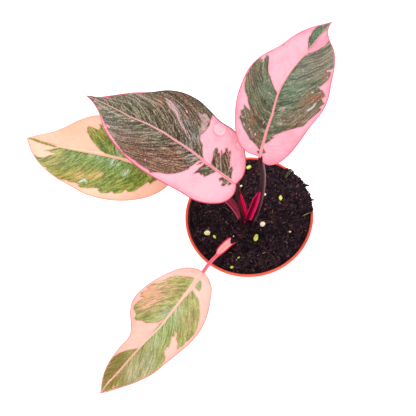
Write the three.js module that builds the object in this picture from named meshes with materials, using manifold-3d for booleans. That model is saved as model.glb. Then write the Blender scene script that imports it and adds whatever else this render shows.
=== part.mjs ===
// A pink princess philodendron, a climbing aroid with pink and dark green leaves, in its 12 cm nursery pot.
// Millimetres, +Z up. The origin is the centre of the pot's base, on the surface that the pot stands on.
// -Y is the front: the lowest leaf hangs out over the lip on that side.

import * as THREE from 'three';
import { mergeVertices } from 'three/addons/utils/BufferGeometryUtils.js';
import Module from 'manifold-3d';

const wasm = await Module();
wasm.setup();

// ---------------------------------------------------------------- driving dimensions

const GAP = 0.3; // between pieces that touch each other
const SIDES = 48; // facets round the pot and the soil

const POT = {
  height: 88,
  lipRadius: 61, // outside of the lip
  lipWidth: 2.2, // from the outside of the lip to the inside of the pot
  lipDrop: 2.4, // thickness of the rolled lip
  baseRadius: 38.5,
  wall: 1.1,
  floor: 1.6,
  rounding: 0.6,
  drainHoles: 6,
  drainRadius: 3.2,
  drainCircle: 28,
  drainSides: 12,
};

const SOIL = {
  level: 84.2, // height of the surface in the middle of the pot
  rise: 2.6, // how much higher it lies at the wall on its high side
  highSide: 40, // direction of the high side, degrees from +X
  rings: 9,
};

// The heap of soil that lies over the lip on the high side.
const HEAP = {
  from: -9, // the stretch of the lip that it covers, degrees from +X
  to: 43,
  steps: 13,
  root: 44, // how far from the pot's axis it grows out of the soil
  depth: 7, // how far it reaches down into the soil
  overhang: 0.6, // how far it may stand out past the lip
  crest: 91.2,
  rough: 0.6,
  seed: 5,
};

// Crumbs of bark in the surface, with their least and greatest sizes.
const CHIPS = {
  count: 30,
  spread: 50, // radius of the circle that they lie in
  long: [3, 7],
  wide: [1.4, 2.8],
  thick: [1, 2],
  tilt: 0.25, // either way, in radians
  seed: 11,
};

// The loose grains on the soil: x, y, radius.
const GRAINS = [
  [8.6, 49.4, 2.0], [-2.3, 31.2, 1.1], [19.1, 17.6, 1.2], [33.0, 11.4, 2.1], [11.7, -11.6, 2.7],
  [3.4, -23.4, 2.8], [-41.8, -10.3, 2.7], [-35.7, -15.5, 1.7], [-16.4, -40.2, 1.6], [-23.7, -47.2, 1.4],
  [35.5, -23.6, 1.1], [-17.3, -18.4, 0.8],
];

const STEM = {
  axis: [-3.0, -7.6], // where the stem stands in the pot
  radius: 5.6, // at its nodes
  bottom: 52,
  top: 88.6, // the petioles spring from here
  sides: 16,
};

// Cross-sections of a petiole, round its own centre line, for a size of 1. Y points to the petiole's
// upper side. 'half' and 'deep' are the half width and the depth of the rounded back. 'wing' and
// 'wingHalf' are the height and the half width at the edges of the sheath. 'side' and 'channel' are how
// far the hollow lies below those edges, at its sides and in its middle.
const ROD = { half: 2.4, deep: 2.3, wing: 1.8, wingHalf: 1.6, side: 0.15, channel: 0.35 };
const SHEATH = { half: 3.3, deep: 2.6, wing: 3.6, wingHalf: 4.2, side: 3.4, channel: 4.6 };
const SHEATH_EDGE = 0.8; // thickness of the sheath's edges
const PETIOLE_STEPS = 16;

const BLADE_ROWS = 22; // rows of facets from the base of a blade to its tip
const BLADE_COLUMNS = [0, 0.07, 0.25, 0.45, 0.65, 0.83, 1]; // from the midrib to the edge
const BLADE_HALF = 0.4; // half the thickness of a blade
const VEIN_SWEEP = 1.8; // above 1 the side veins sweep towards the tip
const CREASE = 2.5; // half width of the rounded crease over the midrib
const RIDGE_BASE = 1.3; // height of the midrib under the blade, at its base
const RIDGE_TIP = 0.2;

// Each leaf has a blade and a petiole. A blade is drawn flat, with x along the midrib from its base and
// y to the left of it as seen from above, then bent in space: 'heading' is its compass direction,
// 'pitch' how steeply it starts, 'bend' how far it arches over, 'roll' its sideways tilt and 'fold' the
// rise of its halves, in degrees, and 'curl' turns its halves down again. 'bow' and 'hook' are the
// sideways swing of the midrib in the middle and at the tip.
// A petiole is a row of stations from its base to the blade: x, y, z, size, and how far its sheath is
// open, from 0, a closed rod, to 1. 'facing' is the compass direction that its upper side turns to, and
// a petiole that is 'onStem' stands upright on the flat top of the stem.
const LEAVES = [
  {
    name: 'upper_left',
    colour: 0x6b5550,
    blade: {
      junction: [-5.7, 0.8, 158], heading: 140.7, length: 150.5, pitch: 30, bend: 32,
      roll: -10, fold: 11, curl: 0.002, bow: -1, hook: 2, wave: 1.2, waves: 3.2,
      left: [[-2, 3], [-3, 9], [0, 18], [9, 26], [21, 31], [37, 32.5], [54, 34], [72, 34], [88, 32],
        [104, 27], [119, 19.5], [131, 10], [142, 4.5]],
      right: [[-1, -5], [0, -12], [6, -22], [15, -30], [26, -34.5], [40, -34.5], [52, -37.5], [63, -39.5],
        [76, -38], [88, -33], [99, -25.5], [113, -18], [127, -8.5], [139, -1.5], [146, 0.5]],
    },
    petiole: {
      facing: -39,
      onStem: true,
      stations: [[-3.6, -5.5, 88.9, 0.7, 0.2], [-4.1, -3.4, 98, 0.8, 0.5], [-4.9, -0.7, 110, 0.95, 0.9],
        [-5.5, 1.1, 126, 1, 0.9], [-5.7, 1.4, 142, 0.95, 0.35], [-5.3, 1.1, 156.2, 0.9, 0]],
    },
  },
  {
    name: 'upper_right',
    colour: 0x64735f,
    blade: {
      junction: [17.1, 7.7, 183], heading: 48.4, length: 118.5, pitch: 38, bend: 32,
      roll: 0, fold: 11, curl: 0.002, bow: 8.3, hook: 0.6, wave: 1.0, waves: 2.6,
      left: [[0, 4], [-0.5, 11], [2, 19], [9, 26], [20, 32.5], [32, 37], [46, 39], [59, 39], [71, 35],
        [84, 26], [96, 20], [107, 12], [114, 5]],
      right: [[-2, -3], [-2, -8], [3, -15], [12, -20], [24, -23.5], [38, -26], [52, -28.5], [62, -27.5],
        [73, -24], [85, -20], [95, -14], [103, -5.5], [109, -0.5], [114.5, 0.8]],
    },
    petiole: {
      facing: -136,
      onStem: true,
      stations: [[0.8, -8.1, 88.9, 0.75, 0.2], [3.7, -6.8, 98, 0.9, 0.5], [7.2, -5.4, 111, 1, 0.9],
        [10.4, -4.6, 127, 1, 0.9], [13.8, -3.4, 145, 1, 0.35], [16.4, 0.6, 166, 1, 0],
        [17.2, 7.0, 181.2, 1, 0]],
    },
  },
  {
    name: 'left',
    colour: 0x6e8c3c,
    blade: {
      junction: [-69, 40.9, 126], heading: 160, length: 134.7, pitch: 20, bend: 20,
      roll: -10, fold: 9, curl: 0.002, bow: 0.6, hook: -3.5, wave: 1.2, waves: 2.8,
      left: [[-5, 3], [-7, 8], [-4, 15.5], [5, 25], [18, 32.5], [34, 38], [50, 40], [65, 39], [80, 34.5],
        [95, 30], [108, 23.5], [119, 16], [128, 6.5]],
      right: [[-4, -4], [-3, -10], [3, -17.5], [14, -26], [28, -34], [44, -40], [60, -38.5], [75, -35],
        [87, -28], [98, -20], [110, -13], [122, -8.5]],
    },
    petiole: {
      facing: -38,
      onStem: true,
      stations: [[-6.8, -8.4, 88.9, 0.66, 0.2], [-8.9, -5.4, 95, 0.7, 0.4], [-13.4, 1.6, 103, 0.85, 0.7],
        [-22.0, 11.2, 111, 0.9, 0.2], [-41, 24.2, 118.5, 0.9, 0], [-67.2, 40.0, 122.1, 0.95, 0]],
    },
  },
  {
    name: 'front',
    colour: 0x8c9650,
    blade: {
      junction: [-49.1, -53.6, 103], heading: -142.2, length: 144, pitch: 2, bend: 28,
      roll: 0, fold: 9, curl: 0.002, bow: 4.8, hook: 1.8, wave: 0.9, waves: 2.4,
      left: [[-0.5, 3], [1, 10], [5, 17], [13, 23.5], [24, 30.5], [37, 35], [50, 36], [63, 34.5], [77, 32],
        [92, 29], [108, 22.5], [123, 14.5], [136, 7]],
      right: [[0, -3], [3, -9], [10, -16], [20, -21.5], [34, -26.5], [47, -29], [59, -29], [69, -24],
        [77, -15.5], [85, -10], [99, -10], [116, -9], [130, -5.5]],
    },
    petiole: {
      facing: 40,
      onStem: false,
      stations: [[-18.0, -20.9, 80.6, 0.95, 1], [-20.4, -23.1, 82.6, 0.95, 1],
        [-24.5, -26.6, 85.4, 0.98, 0.95], [-29.8, -31.3, 88.2, 0.95, 0.6],
        [-34.4, -35.7, 90.8, 0.86, 0.05], [-42.6, -44.5, 96.4, 0.82, 0], [-48.7, -53.1, 101.9, 0.82, 0]],
    },
  },
];

const COLOURS = { pot: 0xeb5f46, soil: 0x23191c, stem: 0x4a2a30, petiole: 0x6e1c38 };

// ---------------------------------------------------------------- helpers

const radians = THREE.MathUtils.degToRad;
const lerp = THREE.MathUtils.lerp;

function mixed(first, firstShare, second, secondShare) {
  return first.clone().multiplyScalar(firstShare).addScaledVector(second, secondShare);
}

// Collects the corners and triangles of a closed body.
class Body {
  corners = [];
  triangles = [];

  corner(point) {
    this.corners.push(point.x, point.y, point.z);
    return this.corners.length / 3 - 1;
  }

  triangle(a, b, c) {
    if (a !== b && b !== c && c !== a) this.triangles.push(a, b, c);
  }

  quad(a, b, c, d) {
    this.triangle(a, b, c);
    this.triangle(a, c, d);
  }

  geometry() {
    const geometry = new THREE.BufferGeometry();
    geometry.setAttribute('position', new THREE.Float32BufferAttribute(this.corners, 3));
    geometry.setIndex(this.triangles);
    return geometry;
  }
}

function solidFrom(geometry) {
  const bare = geometry.index ? geometry.toNonIndexed() : geometry.clone();
  bare.deleteAttribute('normal');
  bare.deleteAttribute('uv');
  const merged = mergeVertices(bare);
  return new wasm.Manifold(new wasm.Mesh({
    numProp: 3,
    vertProperties: merged.attributes.position.array,
    triVerts: new Uint32Array(merged.index.array),
  }));
}

function geometryFrom(solid) {
  const mesh = solid.getMesh();
  const geometry = new THREE.BufferGeometry();
  geometry.setAttribute('position', new THREE.Float32BufferAttribute(mesh.vertProperties, 3));
  geometry.setIndex(Array.from(mesh.triVerts));
  return geometry;
}

// A repeatable stream of numbers from 0 to 1.
function dice(seed) {
  let state = seed;
  return () => {
    state = (state * 1664525 + 1013904223) % 4294967296;
    return state / 4294967296;
  };
}

// A body lofted through rings of corners, all with the same number, closed by a flat cap at each end.
// The rings run anticlockwise as seen from the far end. The outlines are the flat shapes of the caps.
function loft(rings, firstOutline, lastOutline) {
  const body = new Body();
  const index = rings.map((ring) => ring.map((point) => body.corner(point)));
  const count = firstOutline.length;
  for (let i = 0; i + 1 < rings.length; i += 1) {
    for (let j = 0; j < count; j += 1) {
      const next = (j + 1) % count;
      body.quad(index[i][j], index[i][next], index[i + 1][next], index[i + 1][j]);
    }
  }
  const last = index[rings.length - 1];
  for (const [a, b, c] of THREE.ShapeUtils.triangulateShape(firstOutline, [])) {
    body.triangle(index[0][a], index[0][c], index[0][b]);
  }
  for (const [a, b, c] of THREE.ShapeUtils.triangulateShape(lastOutline, [])) {
    body.triangle(last[a], last[b], last[c]);
  }
  return body.geometry();
}

function pieceOf(name, geometry, colour, roughness) {
  const material = new THREE.MeshStandardMaterial({ color: colour, roughness, metalness: 0 });
  const mesh = new THREE.Mesh(geometry, material);
  mesh.name = name;
  return mesh;
}

// ---------------------------------------------------------------- pot

// Radius of the pot's inside at height z.
function insideRadius(z) {
  return lerp(POT.baseRadius - POT.wall, POT.lipRadius - POT.lipWidth, z / POT.height);
}

// A thin tapering pot under a slim rolled lip.
function makePot() {
  const { height, lipRadius, lipDrop, baseRadius, wall, floor, rounding } = POT;
  const underLip = height - lipDrop;
  const profile = [
    [0, 0],
    [baseRadius - rounding, 0],
    [baseRadius, rounding],
    [insideRadius(underLip) + wall, underLip],
    [lipRadius - rounding, underLip],
    [lipRadius, underLip + rounding],
    [lipRadius, height - rounding],
    [lipRadius - rounding, height],
    [insideRadius(height) + rounding, height],
    [insideRadius(height - rounding), height - rounding],
    [insideRadius(floor), floor],
    [0, floor],
  ].map(([radius, z]) => new THREE.Vector2(radius, z));
  let pot = solidFrom(new THREE.LatheGeometry(profile, SIDES).rotateX(Math.PI / 2));
  for (let i = 0; i < POT.drainHoles; i += 1) {
    const turn = ((i + 0.5) / POT.drainHoles) * 2 * Math.PI;
    const hole = new THREE.CylinderGeometry(POT.drainRadius, POT.drainRadius, 4 * floor, POT.drainSides)
      .rotateX(Math.PI / 2)
      .translate(POT.drainCircle * Math.cos(turn), POT.drainCircle * Math.sin(turn), 0);
    pot = pot.subtract(solidFrom(hole));
  }
  return pieceOf('pot', geometryFrom(pot), COLOURS.pot, 0.5);
}

// ---------------------------------------------------------------- soil

function soilHeight(x, y) {
  const side = radians(SOIL.highSide);
  const reach = insideRadius(POT.height);
  const slope = (SOIL.rise * (x * Math.cos(side) + y * Math.sin(side))) / reach;
  const lumps = 0.55 * Math.sin(x / 5.1 + 1) * Math.cos(y / 4.3)
    + 0.45 * Math.sin(x / 2.9 - y / 3.7)
    + 0.35 * Math.cos(x / 8.7 + y / 6.1 + 2);
  return SOIL.level + slope + lumps;
}

// The soil inside the pot: a plug that follows the wall, under a lumpy surface.
function soilPlug() {
  const body = new Body();
  const angle = (j) => (j / SIDES) * 2 * Math.PI;
  const place = (radius, j, z) => new THREE.Vector3(
    radius * Math.cos(angle(j)), radius * Math.sin(angle(j)), z,
  );
  const rings = [];
  for (let i = 1; i <= SOIL.rings; i += 1) {
    const ring = [];
    for (let j = 0; j < SIDES; j += 1) {
      const rough = (i / SOIL.rings) * insideRadius(SOIL.level);
      const { x, y } = place(rough, j, 0);
      const z = soilHeight(x, y);
      const radius = i === SOIL.rings ? insideRadius(z) - GAP : rough;
      ring.push(body.corner(place(radius, j, z)));
    }
    rings.push(ring);
  }
  const bottomZ = POT.floor + GAP;
  const bottom = [];
  for (let j = 0; j < SIDES; j += 1) {
    bottom.push(body.corner(place(insideRadius(bottomZ) - GAP, j, bottomZ)));
  }
  const top = body.corner(new THREE.Vector3(0, 0, soilHeight(0, 0)));
  const under = body.corner(new THREE.Vector3(0, 0, bottomZ));
  for (let j = 0; j < SIDES; j += 1) {
    const next = (j + 1) % SIDES;
    body.triangle(top, rings[0][j], rings[0][next]);
    for (let i = 0; i + 1 < SOIL.rings; i += 1) {
      body.quad(rings[i][j], rings[i + 1][j], rings[i + 1][next], rings[i][next]);
    }
    body.quad(rings[SOIL.rings - 1][j], bottom[j], bottom[next], rings[SOIL.rings - 1][next]);
    body.triangle(under, bottom[next], bottom[j]);
  }
  return solidFrom(body.geometry());
}

// The heap on the high side, which lies over the lip. Its section is drawn from the pot's axis outwards.
function soilHeap() {
  const random = dice(HEAP.seed);
  const onLip = POT.height + GAP;
  const inner = insideRadius(POT.height) - 2 * GAP;
  const shoulder = 1;
  const sections = [];
  const rings = [];
  for (let i = 0; i <= HEAP.steps; i += 1) {
    const share = i / HEAP.steps;
    const swell = Math.sin(Math.PI * lerp(0.08, 0.92, share));
    const outer = POT.lipRadius - 2 + (2 + HEAP.overhang) * swell * lerp(0.5, 1, random());
    const crest = lerp(onLip + shoulder, HEAP.crest, swell) + HEAP.rough * random();
    const section = [
      [HEAP.root, onLip - HEAP.depth], [inner - shoulder, onLip - HEAP.depth + shoulder], [inner, onLip],
      [outer, onLip], [outer, onLip + 0.7 * shoulder], [outer - 1.5 * shoulder, crest - 0.7 * shoulder],
      [inner - shoulder, crest], [HEAP.root + 4 * shoulder, onLip - 1.5 * shoulder],
    ].map(([radius, z]) => new THREE.Vector2(radius, z));
    const turn = radians(lerp(HEAP.to, HEAP.from, share));
    sections.push(section);
    rings.push(section.map((corner) => new THREE.Vector3(
      corner.x * Math.cos(turn), corner.x * Math.sin(turn), corner.y,
    )));
  }
  return solidFrom(loft(rings, sections[0], sections[HEAP.steps]));
}

// The crumbs of bark that stand out of the surface.
function addChips(soil, keepClear) {
  const random = dice(CHIPS.seed);
  const draw = ([least, greatest]) => lerp(least, greatest, random());
  let result = soil;
  let made = 0;
  while (made < CHIPS.count) {
    const turn = 2 * Math.PI * random();
    const radius = CHIPS.spread * Math.sqrt(random());
    const size = [draw(CHIPS.long), draw(CHIPS.wide), draw(CHIPS.thick)];
    const tilts = [draw([-CHIPS.tilt, CHIPS.tilt]), draw([-CHIPS.tilt, CHIPS.tilt]), Math.PI * random()];
    const x = radius * Math.cos(turn);
    const y = radius * Math.sin(turn);
    if (keepClear.every(([cx, cy, clear]) => Math.hypot(x - cx, y - cy) > clear)) {
      const chip = new THREE.BoxGeometry(...size)
        .rotateX(tilts[0]).rotateY(tilts[1]).rotateZ(tilts[2])
        .translate(x, y, soilHeight(x, y));
      result = result.add(solidFrom(chip));
      made += 1;
    }
  }
  return result;
}

// Each grain is a little flattened and sunk in by a third of its height.
function addGrains(soil) {
  return GRAINS.reduce((result, [x, y, radius], i) => {
    const grain = new THREE.IcosahedronGeometry(radius, radius > 1.5 ? 1 : 0)
      .scale(1.1, 0.9, 0.8)
      .rotateZ(i)
      .translate(x, y, soilHeight(x, y) + 0.25 * radius);
    return result.add(solidFrom(grain));
  }, soil);
}

function stemHole() {
  const radius = STEM.radius + GAP;
  const height = 2 * (STEM.top - STEM.bottom);
  const hole = new THREE.CylinderGeometry(radius, radius, height, STEM.sides)
    .rotateX(Math.PI / 2)
    .translate(...STEM.axis, STEM.bottom - GAP + height / 2);
  return solidFrom(hole);
}

// The hole that the front petiole stands in: a plain trough round its sheath, open at the top.
function petioleHole(petiole) {
  const clear = 1.5 * GAP;
  const half = SHEATH.half + clear;
  const deep = SHEATH.deep + clear;
  const wingHalf = SHEATH.wingHalf + clear;
  const open = 3 * SHEATH.wing;
  const outline = [
    [-half, 0], [-0.75 * half, -0.75 * deep], [0, -deep], [0.75 * half, -0.75 * deep], [half, 0],
    [wingHalf, open], [-wingHalf, open],
  ].map(([x, y]) => new THREE.Vector2(x, y));
  const frames = petioleFrames(petiole).filter(({ centre }) => centre.z < POT.height);
  const first = frames[0];
  first.centre.addScaledVector(first.tangent, -2 * GAP);
  return solidFrom(loft(frames.map((frame) => ringIn(frame, outline)), outline, outline));
}

function makeSoil(buried) {
  const [stemX, stemY] = STEM.axis;
  const half = CHIPS.long[1] / 2;
  const keepClear = [[stemX, stemY, STEM.radius + 2 * half]];
  for (const [x, y] of buried.stations) keepClear.push([x, y, SHEATH.wingHalf + half + 1]);
  for (const [x, y, radius] of GRAINS) keepClear.push([x, y, radius + half]);
  let soil = soilPlug().add(soilHeap());
  soil = addGrains(addChips(soil, keepClear));
  soil = soil.subtract(stemHole()).subtract(petioleHole(buried));
  return pieceOf('soil', geometryFrom(soil), COLOURS.soil, 0.95);
}

// ---------------------------------------------------------------- stem

// A short stem, rooted in the soil, with a swelling at each node. The petioles stand on its top.
function makeStem() {
  const { radius, bottom, top } = STEM;
  const between = 0.9 * radius;
  const profile = [
    [0, bottom], [0.6 * radius, bottom], [between, bottom + radius], [between, top - 18],
    [radius, top - 15], [between, top - 12], [between, top - 6], [radius, top - 2.5],
    [radius, top - 0.8], [between, top], [0, top],
  ].map(([r, z]) => new THREE.Vector2(r, z));
  const geometry = new THREE.LatheGeometry(profile, STEM.sides)
    .rotateX(Math.PI / 2)
    .translate(...STEM.axis, 0);
  return pieceOf('stem', geometry, COLOURS.stem, 0.6);
}

// ---------------------------------------------------------------- petioles

// Places along a petiole, each with its own axes: 'side' to the right of its upper side and 'face' up.
function petioleFrames({ stations, facing, onStem }) {
  const curve = new THREE.CatmullRomCurve3(
    stations.map(([x, y, z]) => new THREE.Vector3(x, y, z)), false, 'centripetal',
  );
  const turn = radians(facing);
  const up = new THREE.Vector3(Math.cos(turn), Math.sin(turn), 1);
  const frames = [];
  for (let i = 0; i <= PETIOLE_STEPS; i += 1) {
    const at = i / PETIOLE_STEPS;
    const tangent = i === 0 && onStem ? new THREE.Vector3(0, 0, 1) : curve.getTangent(at);
    const face = up.clone().addScaledVector(tangent, -up.dot(tangent)).normalize();
    const side = new THREE.Vector3().crossVectors(tangent, face).negate();
    const station = at * (stations.length - 1);
    const before = Math.min(Math.floor(station), stations.length - 2);
    const share = station - before;
    const blend = (k) => lerp(stations[before][k], stations[before + 1][k], share);
    frames.push({ centre: curve.getPoint(at), tangent, face, side, size: blend(3), open: blend(4) });
  }
  return frames;
}

function ringIn({ centre, side, face }, outline) {
  return outline.map((corner) => centre.clone()
    .addScaledVector(side, corner.x)
    .addScaledVector(face, corner.y));
}

// The outline of a petiole's section, anticlockwise with its upper side at the top.
function petioleOutline(size, open) {
  const mix = (key) => size * lerp(ROD[key], SHEATH[key], open);
  const half = mix('half');
  const deep = mix('deep');
  const wing = mix('wing');
  const wingHalf = mix('wingHalf');
  const edge = SHEATH_EDGE;
  const back = [-90, -45, 0, 45, 90].map((degrees) => [
    half * Math.sin(radians(degrees)), -deep * Math.cos(radians(degrees)),
  ]);
  return [
    ...back,
    [wingHalf, wing], [wingHalf - edge, wing],
    [Math.min(half, wingHalf) - edge, wing - mix('side')],
    [0, wing - mix('channel')],
    [edge - Math.min(half, wingHalf), wing - mix('side')],
    [edge - wingHalf, wing], [-wingHalf, wing],
  ].map(([x, y]) => new THREE.Vector2(x, y));
}

function makePetiole({ name, petiole }) {
  const frames = petioleFrames(petiole);
  const outlines = frames.map(({ size, open }) => petioleOutline(size, open));
  const rings = frames.map((frame, i) => ringIn(frame, outlines[i]));
  const body = loft(rings, outlines[0], outlines[PETIOLE_STEPS]);
  return pieceOf(`petiole_${name}`, body, COLOURS.petiole, 0.45);
}

// ---------------------------------------------------------------- blades

// The bent middle surface of a blade.
class BladeSurface {
  constructor(blade) {
    this.blade = blade;
    const turn = radians(blade.heading);
    this.ahead = new THREE.Vector3(Math.cos(turn), Math.sin(turn), 0);
    this.left = new THREE.Vector3(-Math.sin(turn), Math.cos(turn), 0);
    this.up = new THREE.Vector3(0, 0, 1);
  }

  // How far the midrib swings to the left at x.
  midrib(x) {
    const { length, bow, hook } = this.blade;
    const share = Math.max(x, 0) / length;
    return bow * 4 * share * (1 - share) + hook * share ** 4;
  }

  at(x, y) {
    const { junction, length, pitch, bend, roll, fold, curl } = this.blade;
    const start = radians(pitch);
    const rate = radians(bend) / length;
    const along = Math.max(x, 0);
    const behind = Math.min(x, 0);
    const slope = start - rate * along;
    const run = (Math.sin(start) - Math.sin(slope)) / rate + behind * Math.cos(start);
    const rise = (Math.cos(slope) - Math.cos(start)) / rate + behind * Math.sin(start);
    const normal = mixed(this.ahead, -Math.sin(slope), this.up, Math.cos(slope));
    const tilt = radians(roll);
    const across = mixed(this.left, Math.cos(tilt), normal, Math.sin(tilt));
    const out = mixed(this.left, -Math.sin(tilt), normal, Math.cos(tilt));
    const offset = y - this.midrib(x);
    const creased = Math.hypot(offset, CREASE) - CREASE;
    const lift = creased * Math.tan(radians(fold)) - curl * offset * offset;
    return new THREE.Vector3(...junction)
      .addScaledVector(this.ahead, run)
      .addScaledVector(this.up, rise)
      .addScaledVector(across, y)
      .addScaledVector(out, lift);
  }

  normal(x, y) {
    const step = 0.5;
    const along = this.at(x + step, y).sub(this.at(x - step, y));
    const across = this.at(x, y + step).sub(this.at(x, y - step));
    return along.cross(across).normalize();
  }
}

// A blade's edge on one side, from its base to its tip, at evenly spaced points.
function bladeEdge(surface, points) {
  const { length } = surface.blade;
  const corners = [[0, 0], ...points, [length, surface.midrib(length)]];
  const curve = new THREE.CatmullRomCurve3(
    corners.map(([x, y]) => new THREE.Vector3(x, y, 0)), false, 'centripetal',
  );
  return curve.getSpacedPoints(BLADE_ROWS);
}

// A thin closed body round the blade's middle surface, with the midrib as a ridge on its underside.
// Its two faces are split into triangles alike.
function makeBlade({ name, colour, blade }) {
  const surface = new BladeSurface(blade);
  const body = new Body();
  const faces = { top: new Map(), under: new Map() };
  const edges = { left: bladeEdge(surface, blade.left), right: bladeEdge(surface, blade.right) };
  const lastRow = BLADE_ROWS;
  const lastColumn = BLADE_COLUMNS.length - 1;

  // Rows meet in one corner at the base and at the tip, and the two halves share the midrib.
  function label(side, row, column) {
    if (row === 0 || row === lastRow) return `end ${row}`;
    return column === 0 ? `rib ${row}` : `${side} ${row} ${column}`;
  }

  function corner(side, row, column) {
    const key = label(side, row, column);
    if (!faces.top.has(key)) {
      const ribX = blade.length * (row / lastRow) ** VEIN_SWEEP;
      const edge = edges[side][row];
      const share = BLADE_COLUMNS[column];
      const x = lerp(ribX, edge.x, share);
      const y = lerp(surface.midrib(ribX), edge.y, share);
      const normal = surface.normal(x, y);
      const phase = 2 * Math.PI * blade.waves * (row / lastRow) + (side === 'left' ? 0 : 2);
      const taper = Math.sin((Math.PI * row) / lastRow);
      const wave = blade.wave * taper * share ** 3 * Math.sin(phase);
      const middle = surface.at(x, y).addScaledVector(normal, wave);
      const ridge = column === 0 ? lerp(RIDGE_BASE, RIDGE_TIP, ribX / blade.length) : 0;
      faces.top.set(key, body.corner(middle.clone().addScaledVector(normal, BLADE_HALF)));
      faces.under.set(key, body.corner(middle.clone().addScaledVector(normal, -BLADE_HALF - ridge)));
    }
    return key;
  }

  for (const side of ['left', 'right']) {
    const turned = side === 'right';
    for (let row = 0; row < lastRow; row += 1) {
      for (let column = 0; column < lastColumn; column += 1) {
        const keys = [
          corner(side, row, column), corner(side, row + 1, column),
          corner(side, row + 1, column + 1), corner(side, row, column + 1),
        ];
        const top = keys.map((key) => faces.top.get(key));
        const under = keys.map((key) => faces.under.get(key));
        // Both faces are split along the same corners, 0 and 2.
        if (turned) {
          body.quad(top[0], top[3], top[2], top[1]);
          body.quad(...under);
        } else {
          body.quad(...top);
          body.quad(under[0], under[3], under[2], under[1]);
        }
        if (column === lastColumn - 1) {
          const rim = [top[3], top[2], under[2], under[3]];
          body.quad(...(turned ? rim.reverse() : rim));
        }
      }
    }
  }
  return pieceOf(`blade_${name}`, body.geometry(), colour, 0.35);
}

// ---------------------------------------------------------------- the plant in its pot

const plant = new THREE.Group();
const frontLeaf = LEAVES.find((leaf) => leaf.name === 'front');
plant.add(makePot(), makeSoil(frontLeaf.petiole), makeStem());
for (const leaf of LEAVES) {
  plant.add(makePetiole(leaf), makeBlade(leaf));
}

export default plant;
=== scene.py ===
"""A pink princess philodendron with four leaves in its 12 cm nursery pot, dressed for a studio picture."""

import itertools
import logging
import math
from dataclasses import dataclass, field
from enum import Enum

import bpy
import numpy as np
from bpy.types import Material, Mesh, Node, NodeSocket, NodeTree, Object
from mathutils import Matrix, Vector


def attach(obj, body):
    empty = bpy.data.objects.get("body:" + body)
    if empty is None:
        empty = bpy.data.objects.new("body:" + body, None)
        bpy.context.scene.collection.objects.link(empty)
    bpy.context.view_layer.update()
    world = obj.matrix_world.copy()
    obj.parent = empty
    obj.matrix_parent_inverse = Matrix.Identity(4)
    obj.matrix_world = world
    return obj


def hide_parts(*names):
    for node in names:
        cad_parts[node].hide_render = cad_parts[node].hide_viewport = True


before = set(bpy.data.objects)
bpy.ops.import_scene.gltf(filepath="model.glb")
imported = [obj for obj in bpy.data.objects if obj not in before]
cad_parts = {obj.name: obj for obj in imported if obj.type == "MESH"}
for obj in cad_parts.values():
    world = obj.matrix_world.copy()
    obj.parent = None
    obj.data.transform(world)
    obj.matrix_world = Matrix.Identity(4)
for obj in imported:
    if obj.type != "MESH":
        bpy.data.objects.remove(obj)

LOG = logging.getLogger("philodendron")
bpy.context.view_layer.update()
BODY = "root"
MM = 0.001

Array = np.ndarray
Colour = tuple[float, float, float, float]
Point2 = tuple[float, float]
Point3 = tuple[float, float, float]
Outline = tuple[Point2, ...]


def srgb(red: int, green: int, blue: int) -> Colour:
    """Turn a screen colour into the linear colour that a shader works with.

    Args:
        red: Red, 0 to 255.
        green: Green, 0 to 255.
        blue: Blue, 0 to 255.

    Returns:
        The linear colour with an alpha of 1.
    """
    def linear(value: int) -> float:
        """Undo the screen's curve for one channel."""
        share = value / 255
        return share / 12.92 if share <= 0.04045 else ((share + 0.055) / 1.055) ** 2.4

    return linear(red), linear(green), linear(blue), 1.0


BLACK = (0.0, 0.0, 0.0, 1.0)
GREY = (0.5, 0.5, 0.5, 1.0)
WHITE = (1.0, 1.0, 1.0, 1.0)


# ---------------------------------------------------------------- numbers


class SmoothNoise:
    """Repeatable smooth noise in space."""

    TABLE = 4096
    CYCLE = 4093
    SCRAMBLE = (374761, 668265, 1274126)

    def __init__(self, seed: int) -> None:
        """Draw the table of random values from a seed."""
        self.values = np.random.default_rng(seed).uniform(-1, 1, self.TABLE)

    def at(self, points: Array, size: float) -> Array:
        """Read the noise at some points.

        Args:
            points: Places, with x, y and z in the last axis.
            size: Width of one lump, in the same unit.

        Returns:
            A value from -1 to 1 for each point.
        """
        cells = np.asarray(points, float) / size
        low = np.floor(cells).astype(int)
        share = smoothstep(cells - low, 0, 1)
        total = np.zeros(cells.shape[:-1])
        for corner in itertools.product((0, 1), repeat=3):
            key = ((low + corner) @ np.array(self.SCRAMBLE)) % self.CYCLE
            total += np.prod(np.where(corner, share, 1 - share), axis=-1) * self.values[key]
        return total


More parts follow.
